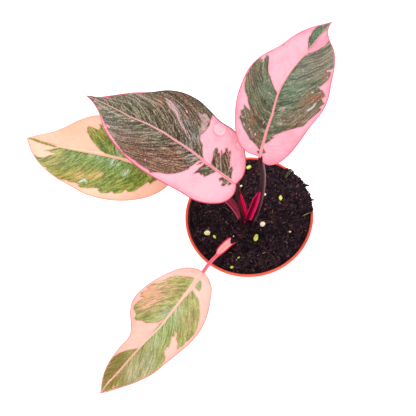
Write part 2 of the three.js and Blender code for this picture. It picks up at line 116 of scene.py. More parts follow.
def spline(points: Array, places: Array, closed: bool = False) -> tuple[Array, Array]:
    """Run a centripetal Catmull-Rom curve through some points.

    Args:
        points: The points, one a row, in any number of dimensions.
        places: Where to read the curve, from 0 to 1, with the points evenly spaced in it.
        closed: Whether the curve returns to its first point.

    Returns:
        The points on the curve and its directions there, not of unit length.
    """
    points = np.asarray(points, float)
    if closed:
        ring = np.vstack([points[-1], points, points[:2]])
    else:
        ring = np.vstack([2 * points[0] - points[1], points, 2 * points[-1] - points[-2]])
    spans = len(ring) - 3
    station = np.clip(np.asarray(places, float), 0, 1) * spans
    first = np.minimum(station.astype(int), spans - 1)
    share = (station - first)[:, None]
    p0, p1, p2, p3 = (ring[first + k] for k in range(4))
    dt0, dt1, dt2 = (
        np.maximum(np.linalg.norm(b - a, axis=1) ** 0.5, 1e-4)[:, None]
        for a, b in ((p0, p1), (p1, p2), (p2, p3))
    )
    t1 = ((p1 - p0) / dt0 - (p2 - p0) / (dt0 + dt1) + (p2 - p1) / dt1) * dt1
    t2 = ((p2 - p1) / dt1 - (p3 - p1) / (dt1 + dt2) + (p3 - p2) / dt2) * dt1
    square = -3 * p1 + 3 * p2 - 2 * t1 - t2
    cube = 2 * p1 - 2 * p2 + t1 + t2
    places_on = p1 + t1 * share + square * share**2 + cube * share**3
    return places_on, t1 + 2 * square * share + 3 * cube * share**2


def unit(vectors: Array) -> Array:
    """Scale vectors in the last axis to a length of 1."""
    return vectors / np.linalg.norm(vectors, axis=-1, keepdims=True)


def smoothstep(values: Array, low: float, high: float) -> Array:
    """Ease values from 0 at low to 1 at high."""
    share = np.clip((values - low) / (high - low), 0, 1)
    return share * share * (3 - 2 * share)


def bell(values: Array) -> Array:
    """Fall smoothly from 1 at zero to nothing on both sides."""
    return np.exp(-(values**2))


def distance_to_line(x: Array, y: Array, line: Array) -> Array:
    """Measure the distance from points to an open line of corners."""
    nearest = np.full(x.shape, np.inf)
    for (ax, ay), (bx, by) in zip(line[:-1], line[1:]):
        ux, uy = bx - ax, by - ay
        length = max(ux * ux + uy * uy, 1e-12)
        along = np.clip(((x - ax) * ux + (y - ay) * uy) / length, 0, 1)
        nearest = np.minimum(nearest, np.hypot(x - ax - along * ux, y - ay - along * uy))
    return nearest


def signed_distance(x: Array, y: Array, outline: Outline) -> Array:
    """Measure how far points lie inside a closed outline.

    Args:
        x: X of each point.
        y: Y of each point.
        outline: Corners of the outline in order.

    Returns:
        The distance to the outline, above zero inside it.
    """
    ring = outline + outline[:1]
    inside = np.zeros(x.shape, bool)
    for (ax, ay), (bx, by) in zip(ring[:-1], ring[1:]):
        if ay != by:
            inside ^= ((ay > y) != (by > y)) & (x < ax + (y - ay) * (bx - ax) / (by - ay))
    nearest = distance_to_line(x, y, ring)
    return np.where(inside, nearest, -nearest)


def angles(count: int) -> Array:
    """Divide a full turn evenly, in radians."""
    return np.linspace(0, 2 * np.pi, count, endpoint=False)


def round_places(
    radius: Array | float, turns: Array | float, height: Array | float, centre: Point2 = (0, 0)
) -> Array:
    """Give the places at some radius and height in the directions of turns, one a row."""
    x, y = centre[0] + radius * np.cos(turns), centre[1] + radius * np.sin(turns)
    return np.column_stack([x, y, np.broadcast_to(height, np.shape(x))])


# ---------------------------------------------------------------- mesh helpers


@dataclass
class MeshDraft:
    """Points, faces and values that grow into one mesh. Lengths are in millimetres."""

    points: list[Array] = field(default_factory=list)
    faces: list[tuple[int, ...]] = field(default_factory=list)
    values: dict[str, list[Array]] = field(default_factory=dict)
    count: int = 0

    def add(self, points: Array, **values: Array | float) -> Array:
        """Add points with their values.

        Args:
            points: The points, one a row.
            values: Numbers to keep with each point, by name.

        Returns:
            The indices of the points.
        """
        points = np.asarray(points, float).reshape(-1, 3)
        self.points.append(points)
        for name, value in values.items():
            self.values.setdefault(name, []).append(np.broadcast_to(np.asarray(value, float), len(points)))
        self.count += len(points)
        return np.arange(self.count - len(points), self.count)

    def skin(self, rings: list[Array], flipped: bool = False) -> None:
        """Join rings of points, each to the next.

        Args:
            rings: Indices of each ring, all equally many. A tip repeats its one index.
            flipped: Whether the faces look the other way.
        """
        for pair in zip(rings[:-1], rings[1:]):
            first, second = pair[::-1] if flipped else pair
            for a, b, c, d in zip(first, np.roll(first, -1), np.roll(second, -1), second):
                whole = tuple(dict.fromkeys((int(a), int(b), int(c), int(d))))
                if len(whole) > 2:
                    self.faces.append(whole)

    def cap(self, *rings: Array) -> None:
        """Close rings of points with one face each."""
        self.faces += [tuple(int(index) for index in ring) for ring in rings]

    def build(self, name: str, smooth: bool = True) -> Mesh:
        """Make the mesh, in metres, with its values as point attributes.

        Args:
            name: The mesh's name.
            smooth: Whether its faces are shaded smooth.

        Returns:
            The new mesh.
        """
        mesh = bpy.data.meshes.new(name)
        mesh.from_pydata((np.vstack(self.points) * MM).tolist(), [], self.faces)
        for key, rows in self.values.items():
            keep_value(mesh, key, np.concatenate(rows))
        mesh.polygons.foreach_set("use_smooth", [smooth] * len(mesh.polygons))
        mesh.update()
        return mesh


def keep_value(mesh: Mesh, key: str, values: Array) -> None:
    """Keep a number with each point of a mesh."""
    mesh.attributes.new(key, "FLOAT", "POINT").data.foreach_set("value", values.astype(np.float32))


def add_map(mesh: Mesh, name: str) -> None:
    """Turn a mesh's u and v values into a UV map."""
    places = np.array([[item.value for item in mesh.attributes[key].data] for key in ("u", "v")], np.float32)
    corners = [loop.vertex_index for loop in mesh.loops]
    mesh.uv_layers.new(name=name).data.foreach_set("uv", places.T[corners].reshape(-1))


def lathe(profile: list[Point2], sides: int, name: str) -> Mesh:
    """Turn a profile round the z axis.

    Args:
        profile: Radius and height of each corner, from the axis round to the axis, outside first.
        sides: How many faces go round.
        name: The mesh's name.

    Returns:
        A closed mesh.
    """
    draft = MeshDraft()
    rings = []
    for radius, height in profile:
        turns = angles(sides if radius else 1)
        rings.append(np.resize(draft.add(round_places(radius, turns, height)), sides))
    draft.skin(rings)
    return draft.build(name)


def rounded(corners: list[Point3], steps: int = 4) -> list[Point2]:
    """Round the corners of a profile.

    Args:
        corners: Radius, height and rounding of each corner.
        steps: How many faces go round a corner.

    Returns:
        The profile's points.
    """
    profile = []
    for i, (x, z, rounding) in enumerate(corners):
        if rounding == 0 or i in (0, len(corners) - 1):
            profile.append((x, z))
            continue
        corner = np.array([x, z])
        start, end = (corner + rounding * unit(np.array(corners[k][:2]) - corner) for k in (i - 1, i + 1))
        for share in np.linspace(0, 1, steps + 1):
            point = (1 - share) ** 2 * start + 2 * share * (1 - share) * corner + share**2 * end
            profile.append((float(point[0]), float(point[1])))
    return profile


def place_piece(mesh: Mesh, slot: str, *replaced: str) -> Object:
    """Put a mesh in the scene as a piece of the plant.

    Args:
        mesh: The piece's mesh, in place.
        slot: The material slot of the record that its finish belongs to; it is not used.
        replaced: The CAD nodes that it stands for.

    Returns:
        The new object, which rides on the plant's body.
    """
    piece = bpy.data.objects.new(mesh.name, mesh)
    bpy.context.scene.collection.objects.link(piece)
    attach(piece, BODY)
    if replaced:
        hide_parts(*replaced)
    return piece


# ---------------------------------------------------------------- shader helpers


@dataclass(frozen=True)
class Signal:
    """A socket whose numbers can be written in sums and products."""

    graph: "Graph"
    socket: NodeSocket

    def __add__(self, other: "Signal | float") -> "Signal":
        """Add a number."""
        return self.graph.math("ADD", self, other)

    def __sub__(self, other: "Signal | float") -> "Signal":
        """Take a number away."""
        return self.graph.math("SUBTRACT", self, other)

    def __rsub__(self, other: float) -> "Signal":
        """Take this away from a number."""
        return self.graph.math("SUBTRACT", other, self)

    def __mul__(self, other: "Signal | float") -> "Signal":
        """Multiply by a number."""
        return self.graph.math("MULTIPLY", self, other)


@dataclass(frozen=True)
class Graph:
    """Adds nodes to one node tree and links them."""

    tree: NodeTree

    def add(self, kind: str, inputs: dict[str | int, object], **settings: object) -> Node:
        """Add a node.

        Args:
            kind: The node's type without its 'ShaderNode' start.
            inputs: Values or signals for its inputs.
            settings: Properties of the node.

        Returns:
            The new node.
        """
        node = self.tree.nodes.new("ShaderNode" + kind)
        for key, value in settings.items():
            setattr(node, key, value)
        for key, value in inputs.items():
            self.put(node.inputs[key], value)
        return node

    def put(self, socket: NodeSocket, value: object) -> None:
        """Link a socket to a signal, or set its value."""
        if isinstance(value, Signal):
            self.tree.links.new(value.socket, socket)
        else:
            socket.default_value = value

    def signal(
        self, kind: str, inputs: dict[str | int, object], output: str | int = 0, **settings: object
    ) -> Signal:
        """Add a node and give one of its outputs."""
        return Signal(self, self.add(kind, inputs, **settings).outputs[output])

    def math(self, operation: str, first: object, second: object = 0.0) -> Signal:
        """Calculate with one or two numbers."""
        return self.signal("Math", {0: first, 1: second}, operation=operation)

    def clamp01(self, value: Signal) -> Signal:
        """Hold a number between 0 and 1."""
        return self.signal("Clamp", {"Value": value})

    def ease(self, value: Signal, low: float, high: float) -> Signal:
        """Ease a number from 0 at low to 1 at high."""
        inputs = {"Value": value, "From Min": low, "From Max": high}
        return self.signal("MapRange", inputs, interpolation_type="SMOOTHSTEP")

    def mix(self, share: object, first: object, second: object, kind: str = "MIX") -> Signal:
        """Mix two colours.

        Args:
            share: How much of the second colour there is.
            first: The first colour.
            second: The second colour.
            kind: How they blend.

        Returns:
            The mixed colour.
        """
        node = self.add("Mix", {}, data_type="RGBA", blend_type=kind)
        for name, value in (("Factor_Float", share), ("A_Color", first), ("B_Color", second)):
            self.put(next(s for s in node.inputs if s.identifier == name), value)
        return Signal(self, next(s for s in node.outputs if s.identifier == "Result_Color"))

    def shaded(self, colour: Signal, light: Signal) -> Signal:
        """Make a colour lighter or darker."""
        grey = self.signal("CombineColor", {"Red": light, "Green": light, "Blue": light})
        return self.mix(1.0, colour, grey, "MULTIPLY")

    def reading(self, name: str) -> Signal:
        """Read a number that the mesh keeps at its points."""
        return self.signal("Attribute", {}, "Fac", attribute_name=name)

    def place(self) -> Signal:
        """Read the place on the object, in metres."""
        return self.signal("TexCoord", {}, "Object")

    def map(self, name: str) -> Signal:
        """Read the place on one of the mesh's UV maps."""
        return self.signal("UVMap", {}, uv_map=name)

    def moved(self, vector: Signal, **shifts: object) -> Signal:
        """Move a vector along its axes, X, Y and Z."""
        return self.signal("VectorMath", {0: vector, 1: self.signal("CombineXYZ", shifts)}, operation="ADD")

    def stretched(self, vector: Signal, scale: Point3, shift: object = 0.0) -> Signal:
        """Scale a vector along each axis, and move it along z by a shift."""
        return self.moved(self.signal("VectorMath", {0: vector, 1: scale}, operation="MULTIPLY"), Z=shift)

    def noise(self, vector: Signal, scale: float, detail: float = 2.0, rough: float = 0.5) -> Signal:
        """Read a cloud of noise, from 0 to 1."""
        inputs = {"Vector": vector, "Scale": scale, "Detail": detail, "Roughness": rough}
        return self.signal("TexNoise", inputs, "Fac")

    def give(self, **values: Signal) -> NodeTree:
        """Give a group its outputs, and return the finished group."""
        for name, value in values.items():
            kind = "NodeSocketColor" if value.socket.type == "RGBA" else "NodeSocketFloat"
            self.tree.interface.new_socket(name, in_out="OUTPUT", socket_type=kind)
        sink = self.tree.nodes.new("NodeGroupOutput")
        for name, value in values.items():
            self.put(sink.inputs[name], value)
        return self.tree

    def use(self, group: NodeTree, finish: object) -> dict[str, Signal]:
        """Place a group in a material.

        Args:
            group: The group.
            finish: The finish, which has a field for each of the group's inputs, in lower case.

        Returns:
            The group's outputs by name.
        """
        node = self.add("Group", {}, node_tree=group)
        for socket in node.inputs:
            self.put(socket, getattr(finish, socket.name.lower()))
        return {socket.name: Signal(self, socket) for socket in node.outputs}

    def feed(self, **values: object) -> None:
        """Set or link sockets of the material's shader, with their spaces written as underscores."""
        shader = self.tree.nodes["Principled BSDF"]
        for key, value in values.items():
            self.put(shader.inputs[key.replace("_", " ")], value)

    def bump(self, height: Signal, depth_mm: float, strength: float) -> None:
        """Raise the surface's relief by a height from 0 to 1."""
        inputs = {"Height": height, "Distance": depth_mm * MM, "Strength": strength}
        self.feed(Normal=self.signal("Bump", inputs))


def new_group(name: str, **inputs: Colour | float) -> tuple[Graph, dict[str, Signal]]:
    """Start a shader node group.

    Args:
        name: The group's name.
        inputs: Each input's default, a colour or a number.

    Returns:
        The graph to fill and the signals that bring the inputs in.
    """
    graph = Graph(bpy.data.node_groups.new(name, "ShaderNodeTree"))
    for key, default in inputs.items():
        kind = "NodeSocketColor" if isinstance(default, tuple) else "NodeSocketFloat"
        graph.tree.interface.new_socket(key, in_out="INPUT", socket_type=kind).default_value = default
    source = graph.tree.nodes.new("NodeGroupInput")
    return graph, {key: Signal(graph, source.outputs[key]) for key in inputs}


def new_material(name: str, **settings: object) -> tuple[Material, Graph]:
    """Start a material with a Principled shader.

    Args:
        name: The material's name.
        settings: Constant values for the shader's sockets, with spaces as underscores.

    Returns:
        The material and its graph.
    """
    material = bpy.data.materials.new(name)
    material.use_nodes = True
    graph = Graph(material.node_tree)
    graph.feed(**settings)
    return material, graph


@dataclass(frozen=True, kw_only=True)
class GroupFinish:
    """A finish that a shader group works out, with a field for each of the group's inputs."""

    relief_mm: float = 0.25
    relief_share: float = 0.7

    def constants(self) -> dict[str, float]:
        """Give the shader's constant values."""
        return {}

    def material(self, name: str, group: NodeTree) -> Material:
        """Make the finish's material.

        Args:
            name: The material's name.
            group: The shader group.

        Returns:
            The material.
        """
        material, graph = new_material(name, **self.constants())
        outputs = graph.use(group, self)
        graph.feed(Base_Color=outputs["Color"], Roughness=outputs["Dullness"])
        # A glow is painted light: the surface's colour given off as emission, though it is no lamp.
        if "Glow" in outputs:
            graph.feed(Emission_Color=outputs["Glow"])
        graph.bump(outputs["Relief"], self.relief_mm, self.relief_share)
        return material


# ---------------------------------------------------------------- leaf tissue


TINT_KINDS = ("warm", "rust", "bloom", "shade", "flush", "dusk")


def leaf_tissue_group() -> NodeTree:
    """Build the shader group of a variegated leaf's colours and veins.

    It reads the leaf map, which says where on the midrib the side vein at a point starts and how far out
    on it the point lies, and the values at the mesh's points: how deep a point lies in green tissue or in
    a veil of pale streaks, its tints with their painted sheen, the painted light of the water drops, and its
    distances to the midrib and to the margin. It also paints shade into the low parts of the relief and
    gives the leaf's colour off as a glow, both painted light.

    Returns:
        The node group.
    """
    graph, given = new_group(
        "leaf_tissue", Green=GREY, Deep=GREY, Bronze=GREY, Cool=GREY, Rust=GREY, Bloom=GREY, Thread=GREY,
        Pale=GREY, Blush=GREY, Margin=GREY, Midrib=GREY, Veil=GREY, Threads=0.5, Furrows=0.5, Veins=0.5,
        Ragged=2.0, Shift=0.0,
    )
    ease, mix, reading, clamp01 = graph.ease, graph.mix, graph.reading, graph.clamp01
    place = graph.place()
    leaf_map = graph.moved(graph.map("leaf"), X=(graph.noise(place, 75.0) - 0.5) * 0.06)
    broad, streak, fine = (
        graph.noise(graph.stretched(leaf_map, scale, given["Shift"]), 1.0, detail, rough)
        for scale, detail, rough in (((20, 6, 1), 3.0, 0.6), ((44, 8, 2), 4.0, 0.7), ((95, 22, 3), 3.0, 0.7))
    )
    speck = graph.noise(place, 900.0, 2.0, 0.6)
    cloud = graph.noise(place, 110.0, 3.0, 0.6)

    ragged = (streak - 0.5) * given["Ragged"] + (fine - 0.5) * given["Ragged"] + (speck - 0.5)
    border = reading("green") + ragged
    tissue = ease(border, -0.2, 0.2)

    green = mix(ease(broad + cloud * 0.5, 0.66, 0.88) * 0.85, given["Green"], given["Deep"])
    uneven = ease(streak, 0.4, 0.6) + 0.35
    # Painted sheen: a pale, cool colour laid on the green where the leaf shows glints and reflections.
    for name, key, sign in (
        ("Bronze", "warm", 1.0), ("Cool", "warm", -1.0), ("Rust", "rust", 1.0), ("Bloom", "bloom", 1.0),
    ):
        green = mix(clamp01(reading(key) * sign * uneven), green, given[name])
    weave = ease(streak, 0.34, 0.66) * 0.36 + ease(fine, 0.34, 0.66) * 0.38 + ease(speck, 0.36, 0.64) * 0.26
    green = graph.shaded(green, (weave * 0.7 + 0.62) * (reading("shade") + 1.0))
    # Painted shade in the furrows: the low parts of the relief darken toward a near-black deep green,
    # together with the leaf's darker streaks.
    green = mix(ease(weave, 0.5, 0.22) * given["Furrows"], green, mix(0.45, given["Deep"], BLACK))
    green = mix(ease(weave, 0.57, 0.8) * given["Threads"], green, given["Thread"])
    start = graph.signal("SeparateXYZ", {0: leaf_map}) * 14.0
    between = graph.math("ABSOLUTE", graph.math("FRACT", start) - 0.5)
    vein = ease(between, 0.07, 0.0) * given["Veins"] * ease(broad, 0.4, 0.56)
    drawn = ease(reading("vein"), -0.7, -0.15) * ease(fine, 0.36, 0.56)
    green = mix(graph.math("MAXIMUM", vein, drawn * 0.6), green, given["Veil"])
    veil = ease(reading("veil") + (streak - 0.5) * 5.0, -0.6, 0.9) * (ease(weave, 0.25, 0.6) + 0.3)
    green = mix(clamp01(veil * 0.75), green, given["Veil"])
    green = mix(ease(border, 1.1, 0.3) * 0.35, green, given["Deep"])

    margin = reading("margin")
    flush = ease(margin, 6.0, 0.0) * 0.55 + ease(streak, 0.42, 0.7) * 0.22 + ease(cloud, 0.42, 0.7) * 0.3
    flush = flush + reading("flush")
    pale = mix(clamp01(flush), given["Pale"], given["Blush"])
    pale = mix(ease(flush, 1.6, 2.6), pale, given["Margin"])
    pale = graph.shaded(pale, weave * 0.24 + 0.88)
    pale = mix(ease(border, -1.1, -0.35) * 0.4, pale, given["Margin"])
    colour = mix(tissue, pale, green)

    ribbed = mix(reading("tipward") * 0.7, given["Midrib"], given["Thread"])
    ribbed = mix(reading("groove") * 0.85, ribbed, given["Margin"])
    colour = mix(ease(reading("rib"), 1.15, 0.8) * 0.95, colour, ribbed)
    # Painted light of the water drops: a near-white painted highlight inside each and a painted shade line
    # round it in the margin colour.
    drop_light = reading("drop_light")
    colour = mix(clamp01(drop_light * -0.55), colour, given["Margin"])
    colour = mix(clamp01(drop_light * 0.45), colour, (1.0, 1.0, 0.95, 1.0))
    edge = mix(clamp01(reading("dusk")), given["Margin"], given["Deep"])
    colour = mix(ease(margin + (broad - 0.5) * 1.2, 1.15, 0.4) * 0.95, colour, edge)
    relief = weave * (tissue * 0.75 + 0.25)
    # Glow is the leaf's colour given off as emission: painted light.
    return graph.give(Color=colour, Glow=colour, Relief=relief, Dullness=weave * 0.2 + 0.3)


@dataclass(frozen=True, kw_only=True)
class LeafFinish(GroupFinish):
    """The colours of one leaf."""

    green: Colour
    deep: Colour
    bronze: Colour
    cool: Colour
    rust: Colour
    bloom: Colour
    thread: Colour
    pale: Colour
    blush: Colour
    margin: Colour
    midrib: Colour
    veil: Colour
    threads: float = 0.5
    furrows: float = 0.6
    veins: float = 0.4
    ragged: float = 2.0
    shift: float = 0.0
    glow: float = 0.0

    def constants(self) -> dict[str, float]:
        """Give the values of a leaf with a soft waxy shine, and its glow: painted light, an emission of the
        leaf's own colour that lifts its shaded parts.
        """
        shine = {"IOR": 1.4, "Specular_IOR_Level": 0.3, "Coat_Weight": 0.2, "Coat_Roughness": 0.22}
        return {**shine, "Emission_Strength": self.glow}


@dataclass(frozen=True)
class Tint:
    """A soft spot on a blade, at x and y on the flat blade: other tones, a lighter or darker ground, and a
    painted sheen of glints and reflection.
    """

    x: float
    y: float
    radius: float
    warm: float = 0.0
    rust: float = 0.0
    bloom: float = 0.0
    shade: float = 0.0
    flush: float = 0.0
    dusk: float = 0.0


@dataclass(frozen=True)
class Drop:
    """A drop of water on a blade, at x and y on the flat blade, in millimetres."""

    x: float
    y: float
    radius: float


# ---------------------------------------------------------------- blades


@dataclass(frozen=True)
class BladeShape:
    """The bent middle surface of a blade. Lengths are in millimetres and angles in degrees.

    A blade is drawn flat, with x along the midrib from its base and y to the left of it as seen from
    above, and is then bent in space in the way that the CAD blade is.
    """

    junction: Point3
    heading: float
    length: float
    pitch: float
    bend: float
    roll: float
    fold: float
    bow: float
    hook: float
    wave: float
    waves: float
    left: Outline
    right: Outline
    curl: float = 0.002
    crease: float = 2.5
    vein_sweep: float = 1.8

    def midrib(self, x: Array) -> Array:
        """Give the midrib's sideways swing at x."""
        share = np.maximum(x, 0) / self.length
        return self.bow * 4 * share * (1 - share) + self.hook * share**4

    def at(self, x: Array, y: Array) -> Array:
        """Bend points of the flat blade into their places in space."""
        x, y = np.broadcast_arrays(np.asarray(x, float), np.asarray(y, float))
        turn, start, tilt = (math.radians(angle) for angle in (self.heading, self.pitch, self.roll))
        ahead = np.array([math.cos(turn), math.sin(turn), 0])
        leftwards = np.array([-math.sin(turn), math.cos(turn), 0])
        up = np.array([0, 0, 1.0])
        rate = math.radians(self.bend) / self.length
        along, behind = np.maximum(x, 0), np.minimum(x, 0)
        slope = (start - rate * along)[..., None]
        run = (math.sin(start) - np.sin(slope)) / rate + behind[..., None] * math.cos(start)
        rise = (np.cos(slope) - math.cos(start)) / rate + behind[..., None] * math.sin(start)
        normal = -np.sin(slope) * ahead + np.cos(slope) * up
        across = math.cos(tilt) * leftwards + math.sin(tilt) * normal
        out = -math.sin(tilt) * leftwards + math.cos(tilt) * normal
        offset = y - self.midrib(x)
        creased = np.hypot(offset, self.crease) - self.crease
        lift = (creased * math.tan(math.radians(self.fold)) - self.curl * offset**2)[..., None]
        return np.array(self.junction) + ahead * run + up * rise + across * y[..., None] + out * lift

    def normal(self, x: Array, y: Array, step: float = 0.5) -> Array:
        """Give the direction that the blade's upper face looks in."""
        along = self.at(x + step, y) - self.at(x - step, y)
        across = self.at(x, y + step) - self.at(x, y - step)
        return unit(np.cross(along, across))

    def edge(self, points: Outline, shares: Array) -> Array:
        """Read the edge of one side from base to tip.

        Args:
            points: The side's outline.
            shares: Shares of the edge's length, from 0 to 1.

        Returns:
            X and y of each place.
        """
        end = (self.length, float(self.midrib(self.length)))
        curve, _ = spline(np.array([(0, 0), *points, end]), np.linspace(0, 1, 1200))
        travelled = np.r_[0, np.cumsum(np.linalg.norm(np.diff(curve, axis=0), axis=1))]
        wanted = shares * travelled[-1]
        return np.stack([np.interp(wanted, travelled, curve[:, k]) for k in range(2)], -1)

    def coarse_edges(self) -> list[Array]:
        """Read the left edge and the right edge at even places."""
        return [self.edge(side, np.linspace(0, 1, 160)) for side in (self.left, self.right)]


@dataclass(frozen=True)
class Blade:
    """One leaf blade with its variegation. Lengths are in millimetres."""

    name: str
    slot: str
    shape: BladeShape
    finish: LeafFinish
    greens: tuple[Outline, ...]
    holes: tuple[Outline, ...] = ()
    veils: tuple[Outline, ...] = ()
    veins: tuple[Outline, ...] = ()
    tints: tuple[Tint, ...] = ()
    drops: tuple[Drop, ...] = ()
    lean: Point2 = (0.65, 0.65)
    sweep: float = 1.2
    rib_sway: Outline = ((0, 0), (200, 0))
    groove_side: float = 0.0
    rows: int = 240
    columns: int = 50
    half: float = 0.3
    half_edge: float = 0.16
    rim: float = 0.12
    vein_pairs: float = 13.0
    vein_depth: float = 0.16
    rib_wide: float = 1.5
    rib_fine: float = 0.25
    rib_taper: float = 0.95
    rib_end: float = 200.0
    ridge_base: float = 1.3
    ridge_tip: float = 0.2

    def tipward(self, x: Array) -> Array:
        """Give how far x lies towards the tip, from 0 to 1."""
        return np.clip(x / self.shape.length, 0, 1)

    def rib_line(self, x: Array) -> Array:
        """Give y of the midrib at x, with its small sways."""
        places, sways = zip(*self.rib_sway)
        return self.shape.midrib(x) + np.interp(x, places, sways)

    def rib_half_width(self, x: Array) -> Array:
        """Give the midrib's half width at x."""
        return self.rib_wide + (self.rib_fine - self.rib_wide) * self.tipward(x) ** self.rib_taper

    def vein_map(self, x: Array, y: Array) -> tuple[Array, Array]:
        """Trace the side veins, which leave the midrib steeply and bend towards the tip.

        Args:
            x: X on the flat blade.
            y: Y on the flat blade.

        Returns:
            Where the vein through each point starts on the midrib, and how far out from the midrib the
            point lies, above zero on the left. Both are in units of 100 mm.
        """
        offset = y - self.rib_line(x)
        far = np.abs(offset)
        reaches = []
        for edge in self.shape.coarse_edges():
            edge = edge[np.argmin(edge[:, 0]):]
            reaches.append(np.interp(x, edge[:, 0], np.abs(edge[:, 1] - self.shape.midrib(edge[:, 0]))))
        width = np.maximum(np.where(offset > 0, *reaches), 3.0)
        lean = self.lean[0] + self.lean[1] * self.tipward(x)
        start = x - lean * far - self.sweep * far**3 / width**2
        return start / 100, offset / 100

    def flat_grid(self) -> dict[str, Array]:
        """Lay out the flat blade's grid.

        Returns:
            X, y, share along the edge and signed share across, for each row and column.
        """
        along = np.linspace(0, 1, self.rows + 1)
        across = np.linspace(-1, 1, 2 * self.columns + 1)
        across = np.sign(across) * np.abs(across) ** 1.1
        rib_x = self.shape.length * along**self.shape.vein_sweep
        rib_y = self.rib_line(rib_x)
        share = np.abs(across)[None, :]
        left, right = (self.shape.edge(side, along) for side in (self.shape.left, self.shape.right))
        edge = np.where((across > 0)[None, :, None], left[:, None, :], right[:, None, :])
        x = rib_x[:, None] + (edge[..., 0] - rib_x[:, None]) * share**1.25
        y = rib_y[:, None] + (edge[..., 1] - rib_y[:, None]) * share
        ones = np.ones_like(x)
        return {"x": x, "y": y, "along": along[:, None] * ones, "across": across[None, :] * ones}

    def surfaces(self, grid: dict[str, Array]) -> tuple[Array, Array, Array]:
        """Bend the grid and give it thickness, waves, veins and the midrib.

        Args:
            grid: The flat grid.

        Returns:
            The upper face, the lower face and the middle surface, in millimetres.
        """
        shape = self.shape
        x, y, along, across = grid.values()
        share = np.abs(across)
        normal = shape.normal(x, y)
        phase = 2 * np.pi * shape.waves * along + np.where(across > 0, 0, 2)
        wave = shape.wave * np.sin(np.pi * along) * share**3 * np.sin(phase)
        middle = shape.at(x, y) + normal * wave[..., None]
        offset = y - self.rib_line(x)
        rib = self.rib_half_width(x)
        bead = 0.3 * bell(offset / rib) - 0.35 * bell((np.abs(offset) - 2.2 * rib) / rib)
        bead *= smoothstep(1 - along, 0, 0.15)
        veins = np.cos(2 * np.pi * self.vein_pairs * along ** 0.9) ** 2
        quilt = self.vein_depth * (veins - 0.5) * smoothstep(share, 0.03, 0.2)
        quilt *= smoothstep(1 - share, 0, 0.25)
        half = self.half + (self.half_edge - self.half) * smoothstep(share, 0.75, 1)
        ridge_height = self.ridge_base + (self.ridge_tip - self.ridge_base) * self.tipward(x)
        ridge = ridge_height * bell(offset / (1.15 * rib))
        top = middle + normal * (half + bead + quilt)[..., None]
        under = middle - normal * (half + ridge - quilt)[..., None]
        return top, under, middle

    def markings(self, grid: dict[str, Array]) -> dict[str, Array]:
        """Work out the values that the leaf's shader reads.

        Args:
            grid: The flat grid.

        Returns:
            Each value's name and its numbers over the grid.
        """
        x, y = grid["x"], grid["y"]
        far = np.full(x.shape, -30.0)
        green = np.maximum.reduce([far, *(signed_distance(x, y, outline) for outline in self.greens)])
        holes = [-2 * signed_distance(x, y, outline) for outline in self.holes]
        marks = {
            "green": np.minimum.reduce([green, *holes]),
            "veil": np.maximum.reduce([far, *(signed_distance(x, y, outline) for outline in self.veils)]),
            "vein": np.maximum.reduce([far, *(-distance_to_line(x, y, line) for line in self.veins)]),
        }
        for key in TINT_KINDS:
            marks[key] = np.zeros(x.shape)
        for tint in self.tints:
            weight = np.exp(-((x - tint.x) ** 2 + (y - tint.y) ** 2) / tint.radius**2)
            for key in TINT_KINDS:
                marks[key] += getattr(tint, key) * weight
        beside = (y - self.rib_line(x)) / self.rib_half_width(x)
        marks["rib"] = np.abs(beside) + 3 * smoothstep(x, self.rib_end - 12, self.rib_end)
        marks["tipward"] = self.tipward(x)
        fade = abs(self.groove_side) * smoothstep(-x, -0.6 * self.shape.length, -0.1 * self.shape.length)
        marks["groove"] = fade * bell((beside - 0.1 * np.sign(self.groove_side)) / 0.36)
        marks["drop_light"] = self.painted_drop_light(x, y)
        marks["margin"] = np.minimum(*(distance_to_line(x, y, edge) for edge in self.shape.coarse_edges()))
        return marks

    def painted_drop_light(self, x: Array, y: Array) -> Array:
        """Work out the painted light of the drops: a painted highlight inside each, most on its lower side,
        and a painted shade line round it.

        Args:
            x: X on the flat blade.
            y: Y on the flat blade.

        Returns:
            Values above zero for the painted highlight and below zero for the painted shade line.
        """
        turn = math.radians(self.shape.heading)
        drop_light = np.zeros(x.shape)
        for drop in self.drops:
            across, along = x - drop.x, y - drop.y
            far = np.maximum(np.hypot(across, along), 0.01)
            low = np.clip(-(across * math.sin(turn) + along * math.cos(turn)) / far, -1, 1)
            width = max(0.35, 0.14 * drop.radius)
            inside = bell((far - 0.8 * drop.radius) / width) * (0.25 + 0.75 * np.clip(low, 0, 1))
            drop_light += inside - bell((far - 1.12 * drop.radius) / width) * (0.5 + 0.2 * low)
        return drop_light

    def build(self) -> Mesh:
        """Build the blade's closed mesh with its leaf map.

        Each row of the grid becomes a ring: over the upper face, round the rim and back underneath.

        Returns:
            The mesh.
        """
        grid = self.flat_grid()
        top, under, middle = self.surfaces(grid)
        start, out = self.vein_map(grid["x"], grid["y"])
        values = {**self.markings(grid), "u": start, "v": out}
        draft = MeshDraft()
        last = 2 * self.columns
        order = np.r_[last:-1:-1]
        columns = np.r_[order, 0, order[::-1], last]
        rings = []
        for row in range(self.rows + 1):
            here = {key: value[row] for key, value in values.items()}
            if row in (0, self.rows):
                tips = np.stack([top[row, 0], under[row, 0]])
                upper, lower = draft.add(tips, **{key: value[0] for key, value in here.items()})
                rings.append(np.r_[np.full(last + 2, upper), np.full(last + 1, lower), upper])
                continue
            right, left = (
                middle[row, column] + self.rim * unit(middle[row, column] - middle[row, beside])
                for column, beside in ((0, 1), (last, last - 1))
            )
            ring = np.vstack([top[row, order], right, under[row, order[::-1]], left])
            rings.append(draft.add(ring, **{key: value[columns] for key, value in here.items()}))
        draft.skin(rings)
        mesh = draft.build(f"leaf_blade_{self.name}")
        add_map(mesh, "leaf")
        return mesh

    def dress(self, mesh: Mesh, group: NodeTree) -> Object:
        """Put the blade in the scene in its finish."""
        mesh.materials.append(self.finish.material(f"leaf_{self.name}", group))
        return place_piece(mesh, self.slot, f"blade_{self.name}")


# ---------------------------------------------------------------- petioles


